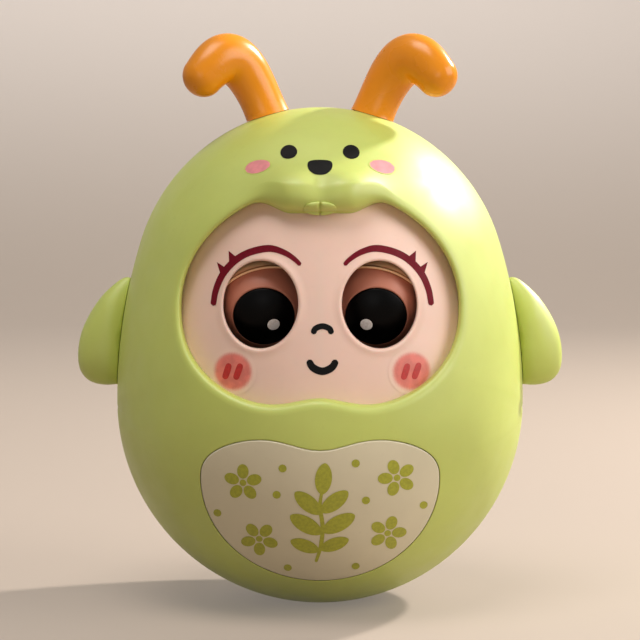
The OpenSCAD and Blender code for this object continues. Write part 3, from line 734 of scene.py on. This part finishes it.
def eyes(white, black, dot, lid):
    """Eyeballs, irises with their printed glints, and lids."""
    down = math.radians(GAZE_DOWN)
    gaze = np.array([0, -math.cos(down), -math.sin(down)])
    up = np.array([0, -math.sin(down), math.cos(down)])
    seat_r = IRIS_R + IRIS_ROOM
    seat = math.degrees(math.asin(seat_r / BALL_R))
    seat_h = BALL_R * math.cos(math.radians(seat))
    dome = BALL_R + IRIS_PROUD
    dome_end = math.degrees(math.asin((IRIS_R - IRIS_DOME_IN) / dome))
    opened = math.radians(LID_OPEN)
    half = (LID_OUT_R - LID_IN_R) / 2
    mid = (LID_OUT_R + LID_IN_R) / 2
    for side, name in SIDES:
        at = np.array([side * BALL_X, EYE_Y, EYE_Z])
        profile = [(seat_r, seat_h - IRIS_SEAT_T)] + arc(BALL_R, seat, 180, 60)
        # The eyeball's material is painted shade: a warm reddish brown in place of white
        make(f"{name}_eye_white", *turned(profile, at, gaze), white, "eyes", "eye_white", [f"{name}_eyeball"])
        profile = arc(dome, AXIS_ANGLE, dome_end, 24)
        drop = profile[-1][1]
        profile += [(IRIS_R - within, drop - below) for within, below in IRIS_EDGE]
        make(f"{name}_eye_iris", *turned(profile, at, gaze), black, "eyes", "eye_black", [f"{name}_iris"])
        spot = unit(gaze * dome + np.array([-side * GLINT_IN, 0, 0]) - up * GLINT_LOW)
        profile = arc(dome + GLINT_LIFT, AXIS_ANGLE, math.degrees(GLINT_R / dome), 8)
        make(f"{name}_eye_glint", *turned(profile, at, spot, 40), dot, "eyes", "eye_white")
        slant = math.radians(side * LID_SLANT)
        axis = np.array([math.sin(slant), 0, math.cos(slant)]) * math.cos(opened)
        axis[1] = math.sin(opened)
        profile = arc(LID_OUT_R, AXIS_ANGLE, LID_OUT_END, 40)
        profile += arc(half, 90, 270, 9, (mid, half)) + arc(LID_IN_R, *LID_IN_ENDS, 12)
        make(f"{name}_eye_lid", *turned(profile, at, axis), lid, "eyes", "face_skin", [f"{name}_eyelid"])


def keep_out(p, gap):
    """Points closer to the egg than gap, moved out to that distance."""
    d, n = egg_field(p)
    return p + n * np.maximum(gap - d, 0.0)[..., None]


def spline(points, steps, close=True):
    """Smooth curve through points."""
    p = np.asarray(points, float)
    p = np.concatenate([p[-1:], p, p[:2]] if close else [p[:1], p, p[-1:]])
    t = np.arange(steps)[:, None] / steps
    out = []
    for a, b, c, d in zip(p, p[1:], p[2:], p[3:]):
        square, cube = 2 * a - 5 * b + 4 * c - d, 3 * b - a - 3 * c + d
        out.append(0.5 * (2 * b + (c - a) * t + square * t**2 + cube * t**3))
    if not close:
        out.append(p[-1:])
    return np.concatenate(out)


def ear(side, name, look):
    """Soft ear that bends outward and forward, with a full rounded tip."""
    root = np.array([EAR_X, 0, CROWN_Z + math.sqrt(CROWN_R**2 - EAR_X**2)])
    t = np.linspace(0, 1, 60)[:, None]
    line = root + (1 - t) * bend(*EAR_CTRL[:3], t) + t * bend(*EAR_CTRL[1:], t)
    along = unit(bend(*np.diff(EAR_CTRL, axis=0), t))
    share = t[:, 0]
    radius = EAR_ROOT_R + (EAR_TIP_R - EAR_ROOT_R) * share + EAR_BEND_R * np.sin(np.pi * share)
    radius += EAR_FOOT * np.exp(-share / EAR_FOOT_RUN)
    e2 = unit(np.cross(along, EAR_FACE))
    for i in range(1, len(e2)):
        e2[i] = unit(e2[i - 1] - along[i] * (e2[i - 1] @ along[i]))
    e1 = np.cross(e2, along)
    a = around(56)
    ring = [np.cos(a)[:, None] * e1[i] + EAR_FLAT * np.sin(a)[:, None] * e2[i] for i in range(len(line))]
    rows = [line[i] + radius[i] * ring[i] for i in range(len(line))]
    for q in np.radians(np.linspace(*EAR_TIP_ANGLES, 14)):
        centre = line[-1] + along[-1] * radius[-1] * EAR_TIP_LONG * math.sin(q)
        rows.append(centre + radius[-1] * math.cos(q) * ring[-1])
    grid = keep_out(np.stack(rows), SEAT_GAP) * [side, 1, 1]
    make(f"{name}_ear_form", grid, capped(grid), look, "toy", "ear_orange", [f"{name}_ear"])


def arm(side, name, look):
    """Padded fin with a moulding line round its edge."""
    edge = spline(ARM_EDGE, 14)
    rows = []
    for q in np.radians([-angle for angle in reversed(ARM_ANGLES)] + [0] + ARM_ANGLES):
        shrink = abs(math.cos(q)) ** ARM_EDGE_POWER
        flat = ARM_MID + (edge - ARM_MID) * shrink
        y = ARM_HALF_T * math.copysign(abs(math.sin(q)) ** ARM_SIDE_POWER, q)
        if q == 0:
            flat = flat - unit(edge - ARM_MID) * ARM_SEAM
        y = y * (1 - ARM_TAPER * ramp(ARM_FULL_X, ARM_ROOT_X, flat[:, 0]))
        rows.append(np.stack([flat[:, 0], y, flat[:, 1]], -1))
    grid = keep_out(np.stack(rows), SEAT_GAP) * [side, 1, 1]
    faces = capped(grid, both=True)
    make(f"{name}_arm_pad", grid, faces, look, "toy", "hood_green", [f"{name}_arm"])


def belly_panel(look):
    """Inlay whose edge is cut under, so that a fine line shows round it."""
    angle = np.linspace(-np.pi, np.pi, LOOP_STEPS, endpoint=False)
    loop = front(*at_angles(*panel_edge(0.0), PANEL_MID_Z, angle))
    mid = front(0.0, PANEL_MID_Z)
    _d, n = egg_field(loop)
    u = unit(np.cross(n, np.roll(loop, -1, 0) - np.roll(loop, 1, 0)))
    u *= np.sign(np.sum(u * (mid - loop), -1, keepdims=True))
    rows = [loop - n * PANEL_T, loop - n * PANEL_EDGE_R]
    for q in np.radians([20, 40, 60, 80]):
        rest = PANEL_EDGE_R * (1 - math.sin(q))
        rows.append(loop + u * rest - n * rest)
    start = on_egg(loop + u * PANEL_EDGE_R)
    for t in np.linspace(0, 1, 40):
        rows.append(on_egg(start * (1 - t) + mid * t))
    grid = np.stack(rows)
    faces = ring_faces(len(grid), len(angle))
    make("belly_panel_skin", grid, faces, look, "toy", "panel_cream", ["belly_panel"])


def blot(name, outline, skin, look, slot, lift=PRINT_LIFT, rings=8):
    """Printed patch inside a closed outline of x and z."""
    edge = np.asarray(outline, float)
    mid = edge.mean(0)
    shares = np.linspace(1.0, BLOT_HEART, rings)
    rows = [mid + (edge - mid) * t for t in shares]
    grid = np.stack([skin(row[:, 0], row[:, 1], lift) for row in rows])
    fade = np.repeat(shares[:, None], len(edge), 1)
    make(name, grid, capped(grid), look, "toy", slot, edge=fade)


def placed(x, z, at, turn):
    """Flat points turned by degrees about the origin and moved to at."""
    c, s = math.cos(math.radians(turn)), math.sin(math.radians(turn))
    return np.stack([at[0] + x * c - z * s, at[1] + x * s + z * c], -1)


def oval(at, half_w, half_h, turn=0.0, steps=48):
    """Closed oval outline of x and z, turned by degrees."""
    a = around(steps)
    return placed(half_w * np.cos(a), half_h * np.sin(a), at, turn)


def leaf(at, length, width, turn):
    """Pointed leaf outline that grows from at."""
    t = np.linspace(0, np.pi, 20)
    along = (1 - np.cos(t)) / 2 * length
    across = width / 2 * np.sin(t) ** LEAF_POWER
    x = np.concatenate([along, along[-2:0:-1]])
    z = np.concatenate([across, -across[-2:0:-1]])
    return placed(x, z, at, turn)


def between(points, steps=8):
    """Closed outline of straight sides, with points along each side."""
    p = np.array(points, float)
    t = np.arange(steps)[:, None] / steps
    return np.concatenate([p[i] * (1 - t) + p[(i + 1) % len(p)] * t for i in range(len(p))])


def stroke(name, path, width, skin, look, slot, ends=(1.0, 1.0), lift=PRINT_LIFT):
    """Printed line through points of x and z, narrowed to shares at its rounded ends."""
    line = spline(path, 10, close=False)
    run = np.concatenate([[0], np.cumsum(np.linalg.norm(np.diff(line, axis=0), axis=1))])
    s = np.linspace(0, run[-1], max(STROKE_LEAST, int(run[-1] / STROKE_STEP)))
    line = np.stack([np.interp(s, run, line[:, k]) for k in (0, 1)], -1)
    share = np.interp(s / run[-1], [0, *STROKE_FULL, 1], [ends[0], 1, 1, ends[1]])
    half = width / 2 * share
    for end in (s, run[-1] - s):
        near = np.clip(end / np.maximum(half, 1e-6), 0, 1)
        half = half * np.sqrt(np.maximum(1 - (1 - near) ** 2, STROKE_BLUNT))
    ahead = unit(np.gradient(line, axis=0))
    across = np.stack([-ahead[:, 1], ahead[:, 0]], -1)
    rows = [line + across * (half * k)[:, None] for k in np.linspace(-1, 1, STROKE_ROWS)]
    grid = np.stack([skin(row[:, 0], row[:, 1], lift) for row in rows])
    faces = ring_faces(STROKE_ROWS, len(line), close=False)
    make(name, grid, faces, look, "toy", slot)


def srgb(r, g, b):
    """Linear colour from 0 to 255 display values."""
    c = np.array([r, g, b], float) / 255
    lin = np.where(c <= 0.04045, c / 12.92, ((c + 0.055) / 1.055) ** 2.4)
    return (float(lin[0]), float(lin[1]), float(lin[2]), 1.0)


def toned(colour, share):
    """Colour made lighter or darker by a share."""
    return tuple(min(c * share, 1.0) for c in colour[:3]) + (1.0,)


class Look:
    """Node material around one Principled shader."""

    def __init__(self, name):
        self.material = bpy.data.materials.new(name)
        self.material.use_nodes = True
        self.tree = self.material.node_tree
        self.tree.nodes.clear()
        out = self.add("OutputMaterial")
        self.shader = self.add("BsdfPrincipled")
        self.link(self.shader.outputs["BSDF"], out.inputs["Surface"])
        self.place = self.add("TexCoord").outputs["Object"]

    def add(self, kind, **values):
        node = self.tree.nodes.new("ShaderNode" + kind)
        for key, value in values.items():
            setattr(node, key, value)
        return node

    def put(self, node, **values):
        """Set a node's inputs, with _ for a space in a name."""
        for key, value in values.items():
            node.inputs[key.replace("_", " ")].default_value = value
        return node

    def link(self, a, b):
        self.tree.links.new(a, b)

    def noise(self, scale, detail=2.0, rough=0.5, stretch=None):
        node = self.put(self.add("TexNoise"), Scale=scale, Detail=detail, Roughness=rough)
        place = self.place
        if stretch:
            mapping = self.put(self.add("Mapping"), Scale=stretch)
            self.link(place, mapping.inputs["Vector"])
            place = mapping.outputs["Vector"]
        self.link(place, node.inputs["Vector"])
        return node.outputs["Fac"]

    def span(self, value, low=0.0, high=1.0, from_low=0.3, from_high=0.7):
        """Value moved smoothly from one span to another."""
        node = self.add("MapRange", interpolation_type="SMOOTHSTEP")
        self.put(node, From_Min=from_low, From_Max=from_high, To_Min=low, To_Max=high)
        self.link(value, node.inputs["Value"])
        return node.outputs["Result"]

    def mix(self, factor, a, b):
        node = self.add("Mix", data_type="RGBA")
        self.link(factor, node.inputs["Factor"])
        for key, value in (("A", a), ("B", b)):
            socket = [s for s in node.inputs if s.name == key and s.type == "RGBA"][0]
            if isinstance(value, tuple):
                socket.default_value = value
            else:
                self.link(value, socket)
        return [s for s in node.outputs if s.type == "RGBA"][0]

    def bump(self, height, strength, distance):
        node = self.put(self.add("Bump"), Strength=strength, Distance=distance * MM)
        self.link(height, node.inputs["Height"])
        self.link(node.outputs["Normal"], self.shader.inputs["Normal"])

    def colour(self, socket):
        self.link(socket, self.shader.inputs["Base Color"])

    def rough(self, socket):
        self.link(socket, self.shader.inputs["Roughness"])

    def fixed(self, **values):
        """Values that are the same all over the surface."""
        self.put(self.shader, **values)
        return self


def plastic(name, colour, rough, vary=0.05, grain=0.12, soft=0.0):
    """Moulded plastic: cloudy pigment, fine pebbled grain and uneven gloss."""
    look = Look(f"{name}_plastic")
    cloud = look.noise(38.0, 4.0, 0.6)
    tone = look.mix(look.span(cloud), toned(colour, 1 - vary), toned(colour, 1 + vary))
    fleck = look.span(look.noise(620.0), 0.0, 0.5, 0.62, 0.8)
    look.colour(look.mix(fleck, tone, toned(colour, 1 - 1.6 * vary)))
    look.rough(look.span(look.noise(130.0, 3.0), rough - 0.05, rough + 0.07))
    look.bump(look.noise(2600.0), grain, 0.03)
    return look.fixed(IOR=1.47, Subsurface_Weight=soft, Subsurface_Scale=0.0015, Coat_Roughness=0.12)


def ink(name, colour, rough=0.4):
    """Printed paint: dense pigment with fine screen grain."""
    look = Look(f"{name}_print")
    dots = look.noise(1500.0)
    look.colour(look.mix(look.span(dots), toned(colour, 0.88), toned(colour, 1.1)))
    look.rough(look.span(look.noise(300.0), rough - 0.06, rough + 0.08))
    look.bump(dots, 0.08, 0.02)
    return look


def soft_ink(name, colour, under, fade, dot, dots, cover_span, rough=0.45):
    """Printed paint that breaks into fine screen dots towards the edge of its patch."""
    look = Look(f"{name}_print")
    edge = look.add("Attribute", attribute_name="edge").outputs["Fac"]
    cells = look.put(look.add("TexVoronoi"), Scale=1 / (dot * MM), Randomness=0.35)
    look.link(look.place, cells.inputs["Vector"])
    sum_node = look.add("Math", operation="ADD")
    look.link(look.span(edge, 0.0, 1.0, *fade), sum_node.inputs[0])
    look.link(look.span(cells.outputs["Distance"], 0.0, dots, 0.05, 0.75), sum_node.inputs[1])
    cover = look.span(sum_node.outputs["Value"], 1.0, 0.0, *cover_span)
    tone = look.mix(look.span(look.noise(420.0, 3.0)), toned(colour, 0.9), toned(colour, 1.1))
    look.colour(look.mix(cover, under, tone))
    look.rough(look.span(look.noise(300.0), rough - 0.06, rough + 0.08))
    look.bump(look.noise(2200.0), 0.1, 0.02)
    return look


def metal(name, colour, rough, grain, stretch=(1.0, 1.0, 1.0), cast=False):
    """Bare or plated metal: drawn grain, or the pebbled skin of a casting."""
    look = Look(name)
    lines = look.noise(grain, 4.0, 0.65, stretch)
    look.colour(look.mix(look.span(lines), toned(colour, 0.8), toned(colour, 1.15)))
    look.rough(look.span(lines, rough - 0.08, rough + 0.12))
    look.bump(lines, 0.5 if cast else 0.12, 0.15 if cast else 0.03)
    return look.fixed(Metallic=0.85 if cast else 1.0)


# Colours that more than one material uses
GREEN = srgb(194, 205, 96)
SKIN = srgb(244, 207, 190)

# Plastics; the eyeballs' warm reddish brown is painted shade, in place of their white, for the shadow and
# warm bounce inside their sockets
green = plastic("hood_green", GREEN, 0.5, vary=0.04, soft=0.08)
green.fixed(Specular_IOR_Level=1.0, Coat_Weight=0.3, Coat_Roughness=0.45)
orange = plastic("ear_orange", srgb(240, 146, 8), 0.27, vary=0.05, grain=0.06)
skin = plastic("face_skin", SKIN, 0.42, vary=0.03, grain=0.1, soft=0.12)
lid_skin = plastic("eyelid", srgb(255, 206, 156), 0.4, vary=0.04, grain=0.1, soft=0.1)
cream = plastic("panel_cream", srgb(222, 212, 182), 0.4, vary=0.035, grain=0.14)
# Eyeballs: painted shade, a warm reddish brown for the shadow in their sockets, in place of white
white = plastic("eye_white", srgb(196, 124, 100), 0.45, vary=0.03, grain=0.03)
black = plastic("eye_black", srgb(3, 3, 3), 0.36, vary=0.2, grain=0.02)
black.fixed(Specular_IOR_Level=0.08)
moulded = plastic("inner", srgb(232, 226, 212), 0.5, vary=0.06, grain=0.2)

# Inks
glint_ink = ink("white", srgb(252, 250, 246), 0.25)
black_ink = ink("black", srgb(8, 7, 7), 0.5).fixed(Specular_IOR_Level=0.12)
brow_ink = ink("brow", srgb(112, 6, 28), 0.5).fixed(Specular_IOR_Level=0.15)
leaf_ink = ink("panel", srgb(172, 172, 52), 0.42)
blush_ink = soft_ink("blush", srgb(226, 122, 110), SKIN, (0.6, 1.0), 0.3, 0.15, (0.1, 1.0))
stripe_ink = ink("blush_stripe", srgb(190, 40, 36), 0.42)
cheek_ink = soft_ink("hood_cheek", srgb(230, 140, 144), GREEN, (0.84, 1.02), 0.34, 0.6, (0.6, 1.0))

# Metals
steel = metal("zinc_plated_steel", srgb(196, 198, 204), 0.34, 420.0, (1.0, 6.0, 1.0))
brass = metal("bell_brass_metal", srgb(206, 164, 78), 0.26, 300.0, (1.0, 1.0, 8.0))
iron = metal("weight_iron_metal", srgb(112, 112, 116), 0.55, 900.0, cast=True)

# Shells, face, eyes, ears, arms, teeth and panel
front_shell(green)
rear_shell(green)
face_mask(skin)
eyes(white, black, glint_ink, lid_skin)
for side, name in SIDES:
    ear(side, name, orange)
    arm(side, name, green)
    tooth(side, name, green)
belly_panel(cream)

# Prints on the hood: nose, eyes and cheeks of the small animal, as places, half sizes and turns
HOOD_NOSE_Z = 106.9
HOOD_NOSE_HALF = 2.85
HOOD_NOSE_UP = 1.5
HOOD_NOSE_DOWN = 2.9
HOOD_NOSE_POWERS = (0.75, 0.6, 1.05)
HOOD_EYE_AT = (7.3, 110.4)
HOOD_EYE_HALF = (1.98, 1.76)
HOOD_EYE_TURN = -12
HOOD_CHEEK_AT = (14.5, 106.9)
HOOD_CHEEK_HALF = (3.3, 1.75)
HOOD_CHEEK_TURN = -10
a = around(60)
nose_x = HOOD_NOSE_HALF * np.sign(np.cos(a)) * np.abs(np.cos(a)) ** HOOD_NOSE_POWERS[0]
nose_up = HOOD_NOSE_UP * np.abs(np.sin(a)) ** HOOD_NOSE_POWERS[1]
nose_down = -HOOD_NOSE_DOWN * np.abs(np.sin(a)) ** HOOD_NOSE_POWERS[2]
nose_z = np.where(np.sin(a) > 0, nose_up, nose_down) + HOOD_NOSE_Z
blot("hood_nose_print", np.stack([nose_x, nose_z], -1), hood, black_ink, "eye_black")
for side, name in SIDES:
    mirror = np.array([side, 1.0])
    outline = oval(HOOD_EYE_AT * mirror, *HOOD_EYE_HALF, side * HOOD_EYE_TURN)
    blot(f"hood_{name}_eye_print", outline, hood, black_ink, "eye_black")
    outline = oval(HOOD_CHEEK_AT * mirror, *HOOD_CHEEK_HALF, side * HOOD_CHEEK_TURN)
    blot(f"hood_{name}_cheek_print", outline, hood, cheek_ink, "hood_green", rings=14)

# Prints on the doll's face, a little off the middle: brows, lashes, blush, stripes, nose, mouth
PRINT_SHIFT = np.array([0.55, 0.0])
BROW = [(25.5, 74.8), (24.9, 78.3), (23.5, 81.7), (21.4, 84.4), (18.7, 86.5), (15.5, 87.8), (12.0, 88.3),
        (8.8, 87.4), (6.4, 85.9), (5.0, 84.5)]
BROW_W = 1.6
BROW_ENDS = (0.85, 0.6)
LASHES = [[(19.4, 85.7), (21.9, 87.6), (21.7, 83.9)], [(22.0, 83.3), (24.7, 84.9), (23.5, 81.2)]]
BLUSH_AT = (20.7, 59.9)
BLUSH_HALF = (5.5, 5.4)
STRIPES = [[(-2.05, -1.85), (-1.4, 0.0), (-0.85, 1.85)], [(0.5, -1.85), (1.2, 0.0), (1.85, 1.9)]]
STRIPE_W = 1.5
NOSE = [(-2.1, 68.8), (-1.65, 70.05), (0, 70.65), (1.65, 70.05), (2.1, 68.8)]
NOSE_W = 1.35
MOUTH = [(-3.2, 63.0), (-2.2, 61.25), (0, 60.35), (2.2, 61.25), (3.2, 63.0)]
MOUTH_W = 1.75
LINE_ENDS = (0.85, 0.85)
for side, name in SIDES:
    mirror = np.array([side, 1.0])
    brow = BROW * mirror + PRINT_SHIFT
    stroke(f"{name}_brow_print", brow, BROW_W, mask_skin, brow_ink, "face_skin", BROW_ENDS)
    for i, lash in enumerate(LASHES):
        outline = between(lash * mirror + PRINT_SHIFT)
        blot(f"{name}_lash_print_{i + 1}", outline, mask_skin, brow_ink, "face_skin")
    at = BLUSH_AT * mirror + PRINT_SHIFT
    blot(f"{name}_blush_print", oval(at, *BLUSH_HALF), mask_skin, blush_ink, "face_skin", rings=16)
    for i, path in enumerate(STRIPES):
        stripe = f"{name}_blush_stripe_{i + 1}"
        stroke(stripe, path + at, STRIPE_W, mask_skin, stripe_ink, "face_skin", LINE_ENDS, 2 * PRINT_LIFT)
stroke("nose_print", NOSE + PRINT_SHIFT, NOSE_W, mask_skin, black_ink, "eye_black")
stroke("mouth_print", MOUTH + PRINT_SHIFT, MOUTH_W, mask_skin, black_ink, "eye_black", LINE_ENDS)

# Print on the belly panel: a leafy sprig, leaves as root, length, width and turn, small blossoms and dots
PANEL_PRINT = (panel_skin, leaf_ink, "panel_cream")
STEM = [(-1.0, 14.5), (0.2, 19.0), (0.6, 24.0), (0.0, 29.0), (0.4, 32.5)]
STEM_W = 1.0
STEM_ENDS = (0.7, 0.7)
LEAVES = [
    ((0.4, 32.0), 7.6, 3.9, 84),
    ((0.3, 27.6), 8.0, 3.8, 40),
    ((0.2, 27.2), 8.0, 3.8, 138),
    ((0.6, 22.6), 8.6, 4.0, 30),
    ((0.4, 22.2), 8.6, 4.0, 148),
    ((0.0, 18.0), 7.2, 3.4, 22),
    ((-0.2, 17.6), 7.2, 3.4, 158),
]
BLOSSOMS = [(-17.8, 34.4), (17.8, 35.6), (-14.2, 20.4), (15.8, 21.8)]
BLOSSOM_TURN = 18
PETALS = 5
PETAL_OUT = 2.75
PETAL_HALF = (1.75, 1.35)
HEART_R = 0.8
DOTS = [(-8.6, 38.2), (8.2, 39.4), (-24.0, 26.4), (24.2, 28.4), (-7.6, 12.8), (8.4, 13.2), (-10.0, 31.8),
        (10.6, 30.4)]
DOT_R = 0.95
stroke("panel_stem_print", STEM, STEM_W, *PANEL_PRINT, STEM_ENDS)
for i, shape in enumerate(LEAVES):
    blot(f"panel_leaf_print_{i + 1}", leaf(*shape), *PANEL_PRINT, 1.5 * PRINT_LIFT)
for i, at in enumerate(BLOSSOMS):
    for k in range(PETALS):
        turn = math.radians(360 // PETALS * k + BLOSSOM_TURN * i + 90)
        petal = (at[0] + PETAL_OUT * math.cos(turn), at[1] + PETAL_OUT * math.sin(turn))
        outline = oval(petal, *PETAL_HALF, math.degrees(turn), 28)
        blot(f"panel_petal_print_{i + 1}_{k + 1}", outline, *PANEL_PRINT, rings=4)
    blot(f"panel_heart_print_{i + 1}", oval(at, HEART_R, HEART_R, steps=20), *PANEL_PRINT, rings=3)
for i, at in enumerate(DOTS):
    blot(f"panel_dot_print_{i + 1}", oval(at, DOT_R, DOT_R, steps=24), *PANEL_PRINT, rings=3)

# CAD pieces that stay as they are, inside the toy
INSIDE = {"inner_plastic": moulded, "steel": steel, "weight_iron": iron, "bell_brass": brass}
for row in frame["record"]["subparts"]:
    if row["material_slot"] in INSIDE:
        mesh = frame["nodes"][row["node"]].data
        mesh.materials.clear()
        mesh.materials.append(INSIDE[row["material_slot"]].material)

# Camera at the photograph's angle: a long lens a little above the face
CAMERA_D = 650.0
CAMERA_UP = math.radians(4.0)
CAMERA_Z = 69.0
CAMERA_FAR_M = 20.0
VIEW_W = 158.0
SENSOR = 36.0
camera = in_scene("camera", bpy.data.cameras.new("camera"))
camera.data.sensor_width = SENSOR
camera.data.lens = SENSOR * CAMERA_D / VIEW_W
camera.data.clip_end = CAMERA_FAR_M
camera_z = CAMERA_Z + CAMERA_D * math.sin(CAMERA_UP)
camera.location = (0, -CAMERA_D * math.cos(CAMERA_UP) * MM, camera_z * MM)
camera.rotation_euler = (math.pi / 2 - CAMERA_UP, 0, 0)
bpy.context.scene.camera = camera

# Stage: a pale floor that turns up into a pale wall, lifted for rays that don't light the toy
STAGE_LIFT = (1.0, 0.9, 0.8, 1.0)
STAGE_LIFT_SHARE = 0.18
STAGE_ROUGH = 0.7
FLOOR = srgb(154, 138, 124)
WALL = srgb(250, 240, 234)
FLOOR_DROP = 0.05
FLOOR_REACH = 1800.0
COVE_Y = 900.0
COVE_R = 300.0
WALL_TOP = 1800.0


def seen_ray(tree, share, base=0.0):
    """Base, plus a share for rays that are seen and don't light the toy."""
    path = tree.nodes.new("ShaderNodeLightPath")
    seen = path.outputs["Is Camera Ray"]
    for ray in ("Is Glossy Ray", "Is Transmission Ray"):
        either = tree.nodes.new("ShaderNodeMath")
        either.operation = "MAXIMUM"
        tree.links.new(seen, either.inputs[0])
        tree.links.new(path.outputs[ray], either.inputs[1])
        seen = either.outputs["Value"]
    scaled = tree.nodes.new("ShaderNodeMath")
    scaled.operation = "MULTIPLY_ADD"
    tree.links.new(seen, scaled.inputs[0])
    scaled.inputs[1].default_value = share
    scaled.inputs[2].default_value = base
    return scaled.outputs["Value"]


line = [(-FLOOR_REACH, -FLOOR_DROP)]
for q in np.linspace(0, np.pi / 2, 16):
    line.append((COVE_Y + COVE_R * math.sin(q), COVE_R * (1 - math.cos(q)) - FLOOR_DROP))
line.append((COVE_Y + COVE_R, WALL_TOP))
points = [(x, y, z) for x in (-FLOOR_REACH, FLOOR_REACH) for y, z in line]
look = Look("studio_sweep")
parts = look.add("SeparateXYZ")
look.link(look.place, parts.inputs["Vector"])
look.colour(look.mix(look.span(parts.outputs["Z"], 0.0, 1.0, 0.0, COVE_R * MM), FLOOR, WALL))
look.fixed(Roughness=STAGE_ROUGH, Emission_Color=STAGE_LIFT)
look.link(seen_ray(look.tree, STAGE_LIFT_SHARE), look.shader.inputs["Emission Strength"])
sweep = mesh_object("studio_sweep", points, ring_faces(2, len(line), close=False), look)


def lamp(name, toward, distance, size, power, colour):
    """Soft light that shines on the middle of the toy and isn't seen itself."""
    light = bpy.data.lights.new(name, "AREA")
    light.size = size * MM
    light.energy = power
    light.color = colour
    obj = in_scene(name, light)
    obj.visible_camera = False
    way = unit(toward)
    obj.location = (way * distance + [0, 0, CAMERA_Z]) * MM
    obj.rotation_euler = Vector(-way).to_track_quat("-Z", "Y").to_euler()


# Lights: direction, distance and size in mm, watts and colour, then the pale world around
lamp("key_light", (0.68, 0.50, 0.58), 900, 60, 10.5, (1.0, 0.97, 0.92))
lamp("window_light", (0.9, -0.42, 0.45), 900, 600, 4.5, (1.0, 0.98, 0.95))
lamp("top_light", (-0.14, -0.34, 1.0), 1100, 600, 6.9, (1.0, 0.97, 0.93))
lamp("front_light", (-0.1, -1.0, 0.12), 900, 400, 0.6, (1.0, 0.97, 0.94))
WORLD_COLOUR = (1.0, 0.97, 0.94, 1.0)
WORLD_LIGHT = 0.13
WORLD_SEEN = 0.5
world = bpy.data.worlds.new("world")
bpy.context.scene.world = world
world.use_nodes = True
background = world.node_tree.nodes["Background"]
background.inputs["Color"].default_value = WORLD_COLOUR
world_strength = seen_ray(world.node_tree, WORLD_SEEN, WORLD_LIGHT)
world.node_tree.links.new(world_strength, background.inputs["Strength"])
bpy.context.scene.view_settings.view_transform = "Standard"
